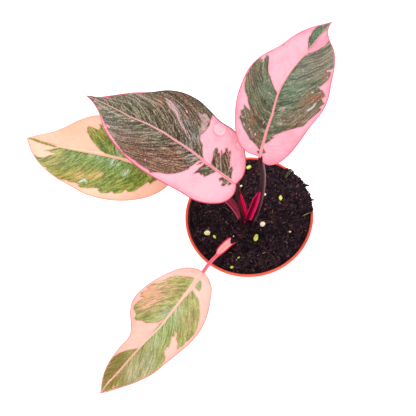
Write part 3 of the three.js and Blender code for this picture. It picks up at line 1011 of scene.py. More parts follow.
def plant_skin_group() -> NodeTree:
    """Build the shader group of a petiole's skin, which has a lit hollow side with painted shade on its dim
    part, fine long ribs, painted shade and painted highlights round the back, and a glow of painted light.

    Returns:
        The node group.
    """
    graph, given = new_group(
        "plant_skin", Back=GREY, Hollow=GREY, Shade=GREY, Edge=GREY, Stripe=GREY, Stripes=0.3,
    )
    ease, mix, reading, clamp01 = graph.ease, graph.mix, graph.reading, graph.clamp01
    lines = graph.noise(graph.stretched(graph.map("skin"), (34, 5, 1)), 1.0, 3.0, 0.6)
    speck = graph.noise(graph.place(), 1400.0, 2.0, 0.6)
    tone = reading("tone")
    back = mix(ease(lines, 0.5, 0.75) * given["Stripes"], given["Back"], given["Stripe"])
    # The tone round the section paints light on the back: below 1 it darkens toward black, painted shade;
    # above 1 it mixes in the stripe colour, a painted highlight along the upper right stalk and coloured
    # lines on the upper left and front stalks.
    back = mix(clamp01(tone - 1.0), back, given["Stripe"])
    back = mix(clamp01(1.0 - tone), back, BLACK)
    lining = mix(reading("dim"), given["Hollow"], given["Shade"])
    lining = mix(ease(lines, 0.4, 0.75) * 0.4, lining, given["Edge"])
    inside = ease(reading("hollow"), 0.35, 0.65)
    lip = ease(reading("lip"), 0.35, 0.85)
    colour = mix(lip, mix(inside, back, lining), given["Edge"])
    # The hollow and lips glow with their own colour: painted light that brightens them in the leaves' shade.
    glow = mix(graph.math("MAXIMUM", inside, lip), BLACK, colour)
    return graph.give(Color=colour, Relief=lines * 0.7 + speck * 0.3, Dullness=speck * 0.2 + 0.28, Glow=glow)


@dataclass(frozen=True, kw_only=True)
class SkinFinish(GroupFinish):
    """The colours of one petiole."""

    back: Colour
    hollow: Colour
    shade: Colour
    edge: Colour
    stripe: Colour
    stripes: float = 0.4
    glow: float = 0.3
    relief_mm: float = 0.15
    relief_share: float = 0.5

    def constants(self) -> dict[str, float]:
        """Give the values of a skin whose hollow side and lips glow: painted light, an emission of their
        colour that brightens the shaded hollow.
        """
        shine = {"IOR": 1.42, "Specular_IOR_Level": 0.15, "Coat_Weight": 0.06, "Coat_Roughness": 0.2}
        return {**shine, "Emission_Strength": self.glow}


@dataclass(frozen=True)
class Section:
    """A petiole's cross-section for a size of 1, in the words of the CAD source. Millimetres."""

    half: float
    deep: float
    wing: float
    wing_half: float
    side: float
    channel: float


ROD = Section(half=2.4, deep=2.3, wing=1.8, wing_half=1.6, side=0.15, channel=0.35)
SHEATH = Section(half=3.3, deep=2.6, wing=3.6, wing_half=4.2, side=3.4, channel=4.6)
SHEATH_EDGE = 0.8
SECTION_CORNERS = 12


class Foot(Enum):
    """What a petiole grows from."""

    STEM = "stem"
    SOIL = "soil"


@dataclass(frozen=True)
class Petiole:
    """One petiole with its sheath, which runs from the stem or the soil into its blade's midrib.

    Each station gives x, y, z, the size and how far the sheath is open. Places round the section are
    counted in corners, with 2 at the bottom and 8 in the middle of the channel.
    """

    name: str
    slot: str
    facing: float
    foot: Foot
    stations: tuple[tuple[float, ...], ...]
    finish: SkinFinish
    blade: Blade
    lit: Point2 = (6.0, 10.0)
    lips: tuple[float, ...] = (5.5, 10.5)
    # Tones round the section: below 1 painted shade, above 1 the stripe colour, a painted highlight on the
    # upper right stalk.
    tones: tuple[Point2, ...] = ((0, 1),)
    edged: float = 0.0
    worn: float = 0.0
    steps: int = 110
    around: int = 5

    def section(self, size: float, open_share: float, worn: float) -> Array:
        """Give the corners of the section, anticlockwise with the upper side at the top.

        Args:
            size: The petiole's size there.
            open_share: How far its sheath is open, from 0 to 1.
            worn: How far its wings are worn down, from 0 to 1.

        Returns:
            The corners, one a row.
        """
        half, deep, wing, wing_half, side, channel = (
            size * ((1 - open_share) * getattr(ROD, key) + open_share * getattr(SHEATH, key))
            for key in ("half", "deep", "wing", "wing_half", "side", "channel")
        )
        low = wing - worn * side
        turns = np.radians([-90, -45, 0, 45, 90])
        back = np.stack([half * np.sin(turns), -deep * np.cos(turns)], 1)
        inner = min(half, wing_half) - SHEATH_EDGE
        hollow = np.array([
            [wing_half, low], [wing_half - SHEATH_EDGE, low], [inner, wing - side], [0, wing - channel],
            [-inner, wing - side], [SHEATH_EDGE - wing_half, low], [-wing_half, low],
        ])
        return np.vstack([back, hollow])

    def into_midrib(self) -> list[Array]:
        """Give the stations by which the petiole runs on under its blade and thins out in the midrib."""
        shape = self.blade.shape
        stations = []
        for x, below, size in ((3.0, 1.5, 0.68), (9.0, 1.0, 0.42), (16.0, 0.9, 0.3)):
            y = shape.midrib(x)
            stations.append(np.r_[shape.at(x, y) - below * shape.normal(x, y), size, 0])
        return stations

    def build(self) -> Mesh:
        """Sweep the section along the petiole.

        Returns:
            A closed mesh.
        """
        rows = np.vstack([*self.stations, *self.into_midrib()])
        places = np.linspace(0, 1, self.steps + 1)
        centres, tangents = spline(rows[:, :3], places)
        tangents = unit(tangents)
        if self.foot is Foot.STEM:
            ease = smoothstep(places, 0, 0.12)[:, None]
            tangents = unit(tangents * ease + np.array([0, 0, 1.0]) * (1 - ease))
        turn = math.radians(self.facing)
        up = np.array([math.cos(turn), math.sin(turn), 1.0])
        face = unit(up - tangents * (tangents @ up)[:, None])
        side = -np.cross(tangents, face)
        station = places * (len(rows) - 1)
        size, opening = (np.interp(station, np.arange(len(rows)), rows[:, k]) for k in (3, 4))
        ring_places = np.linspace(0, 1, SECTION_CORNERS * self.around, endpoint=False)
        corner_at = ring_places * SECTION_CORNERS
        lip = np.maximum.reduce([np.clip(1 - np.abs(corner_at - k) / 1.1, 0, 1) for k in self.lips])
        hollow = ((corner_at > 6.0) & (corner_at < self.lit[1])).astype(float)
        dim = 1 - smoothstep(corner_at, self.lit[0], self.lit[0] + 0.7)
        tone = np.interp(corner_at, *zip(*self.tones), period=SECTION_CORNERS)
        shown = smoothstep(opening, 0.12, 0.4)
        edged = np.maximum(shown, self.edged)
        worn = self.worn * (1 - smoothstep(places, 0.04, 0.12))
        noise = SmoothNoise(5)
        draft = MeshDraft()
        rings = []
        for i, place in enumerate(places):
            ring, _ = spline(self.section(size[i], opening[i], worn[i]), ring_places, closed=True)
            points = centres[i] + side[i] * ring[:, :1] + face[i] * ring[:, 1:]
            points = points + 0.12 * noise.at(points, 2.5)[:, None] * face[i]
            values = {"hollow": hollow * shown[i], "lip": lip * edged[i], "dim": dim, "tone": tone}
            rings.append(draft.add(points, **values, u=ring_places, v=place))
        draft.skin(rings)
        draft.cap(rings[0][::-1], rings[-1])
        mesh = draft.build(f"leaf_stalk_{self.name}")
        add_map(mesh, "skin")
        return mesh

    def dress(self, mesh: Mesh, group: NodeTree) -> Object:
        """Put the petiole in the scene in its finish."""
        mesh.materials.append(self.finish.material(f"stalk_{self.name}", group))
        return place_piece(mesh, self.slot, f"petiole_{self.name}")


# ---------------------------------------------------------------- pot


@dataclass(frozen=True)
class PlasticFinish:
    """Coloured satin plastic with a fine moulded skin, a few patches of dust, and painted shade down the
    inside of the wall.
    """

    colour: Colour
    faded: Colour
    dust_and_shade_colour: Colour

    def material(self, name: str) -> Material:
        """Make the plastic.

        Args:
            name: The material's name.

        Returns:
            The material.
        """
        material, graph = new_material(name, IOR=1.46)
        place = graph.place()
        cloud = graph.noise(place, 45.0, 3.0, 0.6)
        flow = graph.noise(graph.stretched(place, (900, 900, 25)), 1.0)
        speck = graph.noise(place, 2200.0, 2.0, 0.6)
        # Dust patches from noise, and painted shade where the mesh marks the inner wall, both in the darker
        # colour.
        dust_and_shade = graph.ease(graph.noise(place, 260.0, 4.0, 0.7) + graph.reading("inner_wall_shade") * 0.32, 0.6, 0.72)
        colour = graph.mix(graph.ease(cloud, 0.4, 0.75), self.colour, self.faded)
        graph.feed(Base_Color=graph.mix(dust_and_shade, colour, self.dust_and_shade_colour), Roughness=speck * 0.2 + 0.36 + dust_and_shade * 0.3)
        graph.bump(flow * 0.5 + speck * 0.5, 0.08, 0.35)
        return material


@dataclass(frozen=True)
class Pot:
    """The tapering nursery pot. Lengths are in millimetres."""

    height: float = 88.0
    lip_radius: float = 61.0
    lip_width: float = 2.2
    lip_drop: float = 2.4
    base_radius: float = 38.5
    wall: float = 1.1
    floor: float = 1.6
    drain_holes: int = 6
    drain_radius: float = 3.2
    drain_circle: float = 28.0
    drain_sides: int = 24
    sides: int = 192
    finish: PlasticFinish = PlasticFinish(
        colour=srgb(236, 80, 55), faded=srgb(247, 102, 79), dust_and_shade_colour=srgb(60, 38, 34)
    )

    def inside_radius(self, height: float) -> float:
        """Give the radius of the pot's inside at a height."""
        share = height / self.height
        return (1 - share) * (self.base_radius - self.wall) + share * (self.lip_radius - self.lip_width)

    def build(self) -> Mesh:
        """Turn the pot's wall and lip, cut its drainage holes, and mark the painted shade down the inside of
        the wall.

        Returns:
            A closed mesh.
        """
        under_lip = self.height - self.lip_drop
        steps = ((self.height, 0.7), (self.height - 1.5, 0), (self.height - 3, 0), (self.floor, 1.0))
        inside = [(self.inside_radius(height), height, rounding) for height, rounding in steps]
        outside = [
            (self.base_radius, 0, 0.8), (self.inside_radius(under_lip) + self.wall, under_lip, 0.5),
            (self.lip_radius, under_lip, 0.9), (self.lip_radius, self.height, 1.0),
        ]
        profile = rounded([(0, 0, 0), *outside, *inside, (0, self.floor, 0)], 6)
        mesh = self.drill(lathe(profile, self.sides, "nursery_pot"))
        x, y, heights = np.array([vertex.co for vertex in mesh.vertices], float).T / MM
        inner = np.hypot(x, y) < self.inside_radius(heights) + 0.5 * self.wall
        inner &= heights > 0.5 * self.floor
        # Painted shade: the inside of the wall darkens from just under the rim downwards.
        inner_wall_shade = smoothstep(-heights, 0.6 - self.height, 1.6 - self.height)
        keep_value(mesh, "inner_wall_shade", np.where(inner, inner_wall_shade, 0.0))
        return mesh

    def drill(self, mesh: Mesh) -> Mesh:
        """Cut the drainage holes through the pot's floor.

        Args:
            mesh: The pot without holes.

        Returns:
            The pot with holes.
        """
        punches = MeshDraft()
        turns = angles(self.drain_sides)
        for i in range(self.drain_holes):
            turn = 2 * math.pi * (i + 0.5) / self.drain_holes
            centre = (self.drain_circle * math.cos(turn), self.drain_circle * math.sin(turn))
            low, high = (
                punches.add(round_places(self.drain_radius, turns, z, centre))
                for z in (-2 * self.floor, 2 * self.floor)
            )
            punches.skin([low, high])
            punches.cap(low[::-1], high)
        pot = bpy.data.objects.new("pot_blank", mesh)
        punch = bpy.data.objects.new("pot_punch", punches.build("pot_punch", smooth=False))
        for helper in (pot, punch):
            bpy.context.scene.collection.objects.link(helper)
        cut = pot.modifiers.new("holes", "BOOLEAN")
        cut.operation, cut.solver, cut.object = "DIFFERENCE", "EXACT", punch
        drilled = bpy.data.meshes.new_from_object(pot.evaluated_get(bpy.context.evaluated_depsgraph_get()))
        for helper in (pot, punch):
            bpy.data.objects.remove(helper)
        bpy.data.meshes.remove(mesh)
        drilled.name = "nursery_pot"
        return drilled

    def dress(self, mesh: Mesh) -> Object:
        """Put the pot in the scene in its finish."""
        mesh.materials.clear()
        mesh.materials.append(self.finish.material("pot_plastic"))
        return place_piece(mesh, "pot_plastic", "pot")


# ---------------------------------------------------------------- soil


CHANNELS = ("Red", "Green", "Blue")


def crumb_group() -> NodeTree:
    """Build the shader group of peat and bark: dark grounds with lighter, ruddy and dusty specks.

    Returns:
        The node group.
    """
    graph, given = new_group("crumbs", Dark=GREY, Brown=GREY, Ruddy=GREY, Tan=GREY)
    ease, mix, reading = graph.ease, graph.mix, graph.reading
    place = graph.place()
    lumps = graph.noise(place, 420.0, 4.0, 0.65)
    grains = graph.noise(place, 1500.0, 3.0, 0.6)
    patches = graph.noise(place, 170.0, 3.0, 0.6)
    tone = reading("tone")
    colour = mix(ease(lumps + tone * 0.35, 0.45, 0.8), given["Dark"], given["Brown"])
    colour = mix(ease(patches, 0.52, 0.66) * ease(grains, 0.45, 0.7) * 0.8, colour, given["Ruddy"])
    colour = mix(ease(tone, 0.86, 0.97), colour, given["Tan"])
    own = graph.signal("CombineColor", {channel: reading(channel.lower()) for channel in CHANNELS})
    own = mix(ease(lumps, 0.62, 0.38) * 0.75, own, given["Dark"])
    colour = mix(graph.clamp01(reading("own")), colour, own)
    return graph.give(Color=colour, Relief=lumps * 0.6 + grains * 0.4, Dullness=grains * 0.3 + 0.6)


@dataclass(frozen=True, kw_only=True)
class EarthFinish(GroupFinish):
    """Moist potting soil, or the bits of bark and fibre in it."""

    dark: Colour
    brown: Colour
    ruddy: Colour
    tan: Colour
    relief_mm: float = 0.6
    relief_share: float = 0.8

    def constants(self) -> dict[str, float]:
        """Give the values of a dull, moist surface."""
        return {"Specular_IOR_Level": 0.12}


class EarthTone(Enum):
    """The tones of the bits in the soil."""

    PEAT = srgb(21, 15, 22)
    CLOD = srgb(50, 46, 50)
    LOAM = srgb(73, 47, 57)
    RUST = srgb(96, 55, 62)
    BARK = srgb(116, 80, 76)
    MOSS = srgb(74, 66, 48)
    STRAW = srgb(160, 122, 88)
    CHALK = srgb(206, 192, 176)
    MAUVE = srgb(118, 78, 88)
    OLIVE = srgb(90, 82, 44)
    LIME = srgb(156, 160, 96)
    INK = srgb(22, 16, 20)


class GrainTone(Enum):
    """The kinds of loose grain on the soil, each with its ground and its lighter cloud."""

    LIME = (srgb(186, 206, 52), srgb(236, 242, 120))
    OLIVE = (srgb(172, 182, 84), srgb(216, 222, 130))
    CREAM = (srgb(255, 232, 190), srgb(255, 250, 232))
    LEMON = (srgb(232, 232, 90), srgb(255, 250, 226))
    PEACH = (srgb(236, 158, 128), srgb(250, 206, 184))


@dataclass(frozen=True)
class Grain:
    """A loose grain on the soil, at x and y. Lengths are in millimetres."""

    x: float
    y: float
    radius: float
    stretch: float
    heading: float
    tone: GrainTone


@dataclass(frozen=True)
class Shred:
    """A shred of bark or fibre between two places. Lengths are in millimetres."""

    first: Point2
    last: Point2
    thick: float
    tone: EarthTone


def sphere_points(around: int, down: int) -> list[Point3]:
    """List the points of a unit sphere: the top, the rings and the bottom."""
    points = [(0.0, 0.0, 1.0)]
    for i in range(1, down):
        polar = math.pi * i / down
        for j in range(around):
            turn = 2 * math.pi * j / around
            across = math.sin(polar)
            points.append((across * math.cos(turn), across * math.sin(turn), math.cos(polar)))
    return [*points, (0.0, 0.0, -1.0)]


def sphere_faces(around: int, down: int) -> list[tuple[int, ...]]:
    """List the faces that join the points of sphere_points."""
    def at(ring: int, j: int) -> int:
        """Give the index of a point in a ring."""
        return 1 + (ring - 1) * around + j % around

    bottom = 1 + (down - 1) * around
    faces = [(0, at(1, j), at(1, j + 1)) for j in range(around)]
    for ring in range(1, down - 1):
        faces += [(at(ring, j), at(ring + 1, j), at(ring + 1, j + 1), at(ring, j + 1)) for j in range(around)]
    return faces + [(bottom, at(down - 1, j + 1), at(down - 1, j)) for j in range(around)]


CRUMB_FACES = sphere_faces(5, 3)
CRUMB_POINTS = np.array(sphere_points(5, 3))


def own_colour(tone: EarthTone, draw: np.random.Generator) -> dict[str, float]:
    """Give the values that colour one bit in its tone, a little lighter or darker."""
    light = draw.uniform(0.45, 1.6)
    return {**{key.lower(): light * part for key, part in zip(CHANNELS, tone.value)}, "own": 1.0}


@dataclass
class Litter:
    """Small bits of earth that grow into one mesh, drawn at random. Lengths are in millimetres."""

    draw: np.random.Generator
    draft: MeshDraft = field(default_factory=MeshDraft)

    def add_crumb(self, centre: Array, size: Array, tone: EarthTone) -> None:
        """Add one angular crumb.

        Args:
            centre: Its middle.
            size: Its half length, half width and half height.
            tone: Its tone.
        """
        draw = self.draw
        points = CRUMB_POINTS * draw.uniform(0.7, 1.15, (len(CRUMB_POINTS), 1)) * size
        turn, tip, lean = draw.uniform(0, 2 * np.pi), draw.uniform(-0.5, 0.5), draw.uniform(-0.5, 0.5)
        spin = Matrix.Rotation(turn, 3, "Z") @ Matrix.Rotation(tip, 3, "Y") @ Matrix.Rotation(lean, 3, "X")
        first = self.draft.add(points @ np.array(spin).T + centre, **own_colour(tone, draw))[0]
        self.draft.faces += [tuple(int(first) + index for index in face) for face in CRUMB_FACES]

    def add_thread(self, corners: Array, radius: float, tone: EarthTone, steps: int = 14) -> None:
        """Add a thin rough thread along some corners.

        Args:
            corners: The points that it passes.
            radius: Its radius in the middle.
            tone: Its tone.
            steps: How many faces it has along it.
        """
        places = np.linspace(0, 1, steps + 1)
        centres, tangents = spline(corners, places)
        tangents = unit(tangents)
        side = unit(np.cross(tangents, (0, 0, 1.0)))
        rise = np.cross(side, tangents)
        turns = angles(6)
        colour = own_colour(tone, self.draw)
        rings = []
        for i, place in enumerate(places):
            thick = radius * (0.35 + 0.65 * math.sin(math.pi * (0.08 + 0.84 * place)))
            thick = thick * self.draw.uniform(0.8, 1.2, len(turns))
            ring = centres[i] + (thick * np.cos(turns))[:, None] * side[i]
            rings.append(self.draft.add(ring + (thick * np.sin(turns))[:, None] * rise[i], **colour))
        self.draft.skin(rings, flipped=True)
        self.draft.cap(rings[0], rings[-1][::-1])


@dataclass(frozen=True)
class Soil:
    """The potting soil, its heap over the lip, and what lies on it. Lengths are in millimetres."""

    pot: Pot
    level: float = 84.2
    rise: float = 2.6
    high_side: float = 40.0
    gap: float = 0.3
    rings: int = 76
    sides: int = 240
    heap_from: float = -9.0
    heap_to: float = 43.0
    heap_root: float = 44.0
    heap_steps: int = 13
    heap_crest: float = 91.2
    heap_overhang: float = 0.6
    heap_seed: int = 5
    heap_around: int = 48
    crumb_count: int = 4200
    heap_crumb_count: int = 620
    clump_count: int = 230
    chip_count: int = 150
    fibre_count: int = 340
    crumb_reach: float = 56.6
    clump_reach: float = 53.0
    chip_reach: float = 54.0
    fibre_reach: float = 55.0
    stem_axis: Point2 = (-3.0, -7.6)
    stem_clear: float = 7.0
    stalk_path: Outline = ((-18.0, -20.9), (-24.5, -26.6), (-34.4, -35.7), (-42.6, -44.5))
    stalk_clear: float = 4.6
    finish: EarthFinish = EarthFinish(
        dark=srgb(10, 6, 12), brown=srgb(57, 36, 45), ruddy=srgb(88, 44, 50), tan=srgb(140, 98, 84)
    )
    bark: EarthFinish = EarthFinish(
        dark=srgb(36, 26, 28), brown=srgb(74, 50, 48), ruddy=srgb(110, 62, 54), tan=srgb(176, 130, 96),
        relief_mm=0.3,
    )
    mixture: tuple[tuple[EarthTone, float], ...] = (
        (EarthTone.PEAT, 0.5), (EarthTone.LOAM, 0.33), (EarthTone.RUST, 0.1), (EarthTone.MAUVE, 0.075),
        (EarthTone.MOSS, 0.015), (EarthTone.STRAW, 0.004), (EarthTone.CHALK, 0.004),
    )
    clump_tones: tuple[EarthTone, ...] = (EarthTone.PEAT, EarthTone.PEAT, EarthTone.CLOD, EarthTone.LOAM)
    chip_tones: tuple[EarthTone, ...] = (EarthTone.RUST, EarthTone.BARK, EarthTone.LOAM, EarthTone.MOSS)
    fibre_tones: tuple[EarthTone, ...] = (
        EarthTone.LOAM, EarthTone.RUST, EarthTone.MAUVE, EarthTone.BARK, EarthTone.MAUVE, EarthTone.MOSS,
    )
    grains: tuple[Grain, ...] = (
        Grain(8.6, 49.4, 1.9, 1.3, 10, GrainTone.LIME), Grain(-2.3, 31.2, 1.1, 1.3, 20, GrainTone.LEMON),
        Grain(19.1, 17.6, 1.1, 1.2, 50, GrainTone.LEMON), Grain(33.2, 11.4, 1.7, 1.6, 80, GrainTone.LIME),
        Grain(11.7, -11.6, 2.3, 1.15, 0, GrainTone.CREAM), Grain(3.4, -23.4, 2.1, 1.6, 65, GrainTone.LIME),
        Grain(-41.8, -10.3, 2.4, 1.3, -12, GrainTone.LEMON),
        Grain(-35.5, -14.9, 1.2, 1.7, 120, GrainTone.LIME),
        Grain(-15.8, -39.6, 0.9, 1.6, 30, GrainTone.OLIVE), Grain(-18.2, -41.0, 0.6, 1.3, 0, GrainTone.OLIVE),
        Grain(-23.7, -47.2, 1.2, 1.3, 15, GrainTone.LIME), Grain(35.5, -23.6, 1.0, 1.2, 0, GrainTone.PEACH),
        Grain(-17.3, -17.6, 0.55, 1.1, 0, GrainTone.CREAM),
    )
    splinters: tuple[Shred, ...] = (
        Shred((55.4, 19.4), (62.0, 17.2), 2.0, EarthTone.INK),
        Shred((57.8, 9.8), (61.2, 7.6), 2.6, EarthTone.STRAW),
        Shred((57.4, 1.6), (63.3, 2.2), 2.2, EarthTone.INK),
        Shred((50.0, -11.6), (58.6, -10.1), 0.9, EarthTone.LIME),
    )
    shreds: tuple[Shred, ...] = (
        Shred((6.3, -39.5), (10.1, -39.0), 0.8, EarthTone.STRAW),
        Shred((-41.3, 10.0), (-35.1, 11.4), 0.5, EarthTone.STRAW),
        Shred((-52.9, 17.0), (-48.1, 22.5), 0.4, EarthTone.STRAW),
        Shred((29.6, -32.1), (31.4, -35.3), 0.5, EarthTone.CHALK),
        Shred((-5.3, -52.3), (-3.5, -55.0), 0.5, EarthTone.STRAW),
        Shred((-14.7, -22.8), (-14.6, -28.3), 0.5, EarthTone.BARK),
        Shred((-25.0, -33.3), (-21.3, -33.9), 0.8, EarthTone.BARK),
        Shred((41.0, 29.6), (46.9, 34.9), 3.2, EarthTone.OLIVE),
    )

    def surface(self, x: Array, y: Array) -> Array:
        """Give the height of the soil's surface, as the CAD soil has it."""
        side = math.radians(self.high_side)
        slope = self.rise * (x * math.cos(side) + y * math.sin(side))
        slope = slope / self.pot.inside_radius(self.pot.height)
        lumps = 0.55 * np.sin(x / 5.1 + 1) * np.cos(y / 4.3)
        lumps += 0.45 * np.sin(x / 2.9 - y / 3.7) + 0.35 * np.cos(x / 8.7 + y / 6.1 + 2)
        return self.level + slope + lumps

    def heap_sections(self) -> Array:
        """Draw the heap's sections from one end to the other, from the pot's axis outwards.

        Returns:
            Radius and height of each corner of each section.
        """
        state = self.heap_seed

        def draw() -> float:
            """Give the next number from 0 to 1 of the heap's own stream."""
            nonlocal state
            state = (state * 1664525 + 1013904223) % 4294967296
            return state / 4294967296

        on_lip = self.pot.height + self.gap
        inner = self.pot.inside_radius(self.pot.height) - 2 * self.gap
        sections = []
        for i in range(self.heap_steps + 1):
            swell = math.sin(math.pi * (0.08 + 0.84 * i / self.heap_steps))
            outer = self.pot.lip_radius - 2 + (2 + self.heap_overhang) * swell * (0.5 + 0.5 * draw())
            crest = on_lip + 1 + (self.heap_crest - on_lip - 1) * swell + 0.6 * draw()
            sections.append([
                (self.heap_root, on_lip - 7), (inner - 1, on_lip - 6), (inner, on_lip), (outer, on_lip),
                (outer, on_lip + 0.7), (outer - 1.5, crest - 0.7), (inner - 1, crest),
                (self.heap_root + 4, on_lip - 1.5),
            ])
        return np.array(sections)

    def heap_top(self, turn: Array, radius: Array) -> Array:
        """Give the height of the heap's top.

        Args:
            turn: Direction from the pot's axis, in degrees from +X.
            radius: Distance from the axis.

        Returns:
            The height at each place.
        """
        sections = self.heap_sections()
        station = np.clip((self.heap_to - turn) / (self.heap_to - self.heap_from), 0, 1) * self.heap_steps
        steps = np.arange(self.heap_steps + 1)
        outer, crest, inner = (
            np.interp(station, steps, sections[:, corner, axis]) for corner, axis in ((4, 0), (6, 1), (6, 0))
        )
        root_radius, root_height = sections[0, 7]
        rise = np.clip((radius - root_radius) / (inner - root_radius), 0, 1)
        fall = np.clip((radius - inner) / (outer - inner), 0, 1)
        return root_height + (crest - root_height) * rise - 1.6 * fall**2

    def build_bed(self) -> Mesh:
        """Build the soil that fills the pot, with the heap over its lip.

        Returns:
            A mesh of two closed bodies.
        """
        noise = SmoothNoise(2)
        draft = MeshDraft()
        turns = angles(self.sides)
        reach = self.pot.inside_radius(self.level)
        centre = draft.add(np.array([[0, 0, self.surface(np.zeros(1), np.zeros(1))[0]]]), tone=0.2)
        rings = [np.resize(centre, self.sides)]
        for i in range(1, self.rings + 1):
            fine = round_places(reach * (i / self.rings) ** 0.8, turns, 0)
            fine[:, 2] = self.surface(fine[:, 0], fine[:, 1])
            height = fine[:, 2] + 0.5 * noise.at(fine, 3.1) + 0.35 * noise.at(fine, 1.5) - 0.3
            ring = np.column_stack([fine[:, :2], height])
            if i == self.rings:
                ring = round_places(self.pot.inside_radius(height) - self.gap, turns, height)
            rings.append(draft.add(ring, tone=0.6 * (0.5 + 0.5 * noise.at(fine, 4.0))))
        bottom = self.pot.floor + self.gap
        foot = round_places(self.pot.inside_radius(bottom) - self.gap, turns, bottom)
        rings.append(draft.add(foot, tone=0.2))
        rings.append(np.resize(draft.add(np.array([[0, 0, bottom]]), tone=0.2), self.sides))
        draft.skin(rings, flipped=True)
        self.add_heap(draft, noise)
        return draft.build("potting_soil")

    def add_heap(self, draft: MeshDraft, noise: SmoothNoise) -> None:
        """Add the heap over the lip to the soil's mesh.

        Args:
            draft: The soil's points and faces.
            noise: The noise that roughens it.
        """
        sections = self.heap_sections()
        ring_places = np.linspace(0, 1, self.heap_around, endpoint=False)
        rings = []
        for station in np.linspace(0, self.heap_steps, 8 * self.heap_steps + 1):
            low = min(int(station), self.heap_steps - 1)
            share = station - low
            section = (1 - share) * sections[low] + share * sections[low + 1]
            outline, _ = spline(section, ring_places, closed=True)
            turn = math.radians(self.heap_to + (self.heap_from - self.heap_to) * station / self.heap_steps)
            points = round_places(outline[:, 0], turn, outline[:, 1])
            rough = 0.45 * noise.at(points, 2.2) + 0.3 * noise.at(points, 1.1)
            points[:, 2] += rough * smoothstep(points[:, 2], self.pot.height + self.gap, self.pot.height + 1)
            rings.append(draft.add(points, tone=0.3 + 0.3 * rough))
        draft.skin(rings)
        draft.cap(rings[0][::-1], rings[-1])

    def clear_of_plant(self, x: Array, y: Array) -> Array:
        """Tell which places on the soil are free of the stem and of the front stalk."""
        free = np.hypot(x - self.stem_axis[0], y - self.stem_axis[1]) > self.stem_clear
        return free & (distance_to_line(x, y, self.stalk_path) > self.stalk_clear)

    def scatter(self, draw: np.random.Generator, count: int, heap: bool = False) -> Array:
        """Choose places for crumbs on the soil or on the heap.

        Args:
            draw: The source of random numbers.
            count: How many places to try.
            heap: Whether they lie on the heap.

        Returns:
            The places that are free of the plant.
        """
        if heap:
            turn = draw.uniform(self.heap_from + 1, self.heap_to - 1, count)
            radius = draw.uniform(self.heap_root + 2, self.pot.lip_radius + 0.2, count)
            places = round_places(radius, np.radians(turn), self.heap_top(turn, radius))
        else:
            turn = draw.uniform(0, 2 * np.pi, count)
            places = round_places(self.crumb_reach * np.sqrt(draw.uniform(0, 1, count)), turn, 0)
            places[:, 2] = self.surface(places[:, 0], places[:, 1])
        return places[self.clear_of_plant(places[:, 0], places[:, 1])]

    def pick_tone(self, draw: np.random.Generator, damp: float) -> EarthTone:
        """Pick a tone by its share of the mixture, where damp soil has more of the first and darkest."""
        tones, shares = zip(*self.mixture)
        return tones[int(np.searchsorted(np.cumsum(shares) / sum(shares), draw.uniform() ** 3**damp))]

    def build_crumbs(self) -> Mesh:
        """Scatter crumbs and clumps of peat and chips of bark over the soil.

        Returns:
            A mesh of many small closed bodies.
        """
        draw = np.random.default_rng(8)
        litter = Litter(draw)
        places = np.vstack([
            self.scatter(draw, self.crumb_count), self.scatter(draw, self.heap_crumb_count, heap=True),
        ])
        for centre, damp in zip(places, 1.3 * SmoothNoise(9).at(places, 8.0)):
            size = (0.35 + 1.0 * draw.uniform() ** 2.2) * draw.uniform((0.9, 0.55, 0.45), (2.4, 0.95, 0.8))
            tone = self.pick_tone(draw, damp)
            if tone is EarthTone.CHALK:
                size *= 0.6
            litter.add_crumb(centre + (0, 0, 0.15 * size[2]), size, tone)
        places = np.vstack([
            self.scatter(draw, self.clump_count), self.scatter(draw, self.clump_count // 5, heap=True),
        ])
        for centre in places:
            size = draw.uniform(1.0, 2.4) * draw.uniform((0.9, 0.7, 0.45), (1.4, 1.0, 0.7))
            if np.hypot(*centre[:2]) < self.clump_reach:
                litter.add_crumb(centre, size, self.clump_tones[int(draw.integers(len(self.clump_tones)))])
        for centre in self.scatter(draw, self.chip_count):
            size = draw.uniform((1.2, 0.5, 0.3), (2.9, 1.0, 0.6))
            tone = self.chip_tones[int(draw.integers(len(self.chip_tones)))]
            if np.hypot(*centre[:2]) < self.chip_reach:
                litter.add_crumb(centre + (0, 0, 0.4), size, tone)
        return litter.draft.build("soil_crumbs", smooth=False)

    def build_fibres(self) -> Mesh:
        """Lay root fibres, shreds of bark and the splinters that stick out over the lip.

        Returns:
            A mesh of many small closed bodies.
        """
        draw = np.random.default_rng(21)
        litter = Litter(draw)
        for start in self.scatter(draw, self.fibre_count):
            turn, curl = draw.uniform(0, 2 * np.pi), draw.uniform(-0.9, 0.9)
            length = draw.uniform(3, 11)
            steps = [start[:2]]
            for heading in (turn, turn + curl, turn + 2 * curl):
                steps.append(steps[-1] + length / 3 * np.array([math.cos(heading), math.sin(heading)]))
            x, y = np.array(steps).T
            if np.hypot(x, y).max() < self.fibre_reach and self.clear_of_plant(x, y).all():
                heights = self.surface(x, y) + draw.uniform(0.3, 1.4, 4)
                tone = self.fibre_tones[int(draw.integers(len(self.fibre_tones)))]
                litter.add_thread(np.column_stack([x, y, heights]), draw.uniform(0.12, 0.3), tone)
        for shred in self.shreds:
            middle = np.add(shred.first, shred.last) / 2
            x, y = np.array([shred.first, middle, shred.last]).T
            radius, turn = np.hypot(x, y), np.degrees(np.arctan2(y, x))
            on_heap = (turn > self.heap_from) & (turn < self.heap_to) & (radius > self.heap_root)
            top = np.where(on_heap, self.heap_top(turn, radius), self.surface(x, y))
            heights = top + 0.4 + 0.5 * shred.thick
            litter.add_thread(np.column_stack([x, y, heights]), 0.5 * shred.thick, shred.tone)
        for splinter in self.splinters:
            middle = np.add(splinter.first, splinter.last) / 2 + (0, 0.4)
            rows = np.array([(*splinter.first, 89.3), (*middle, 90.1), (*splinter.last, 89.9)])
            litter.add_thread(rows, 0.5 * splinter.thick, splinter.tone)
        return litter.draft.build("soil_fibres")

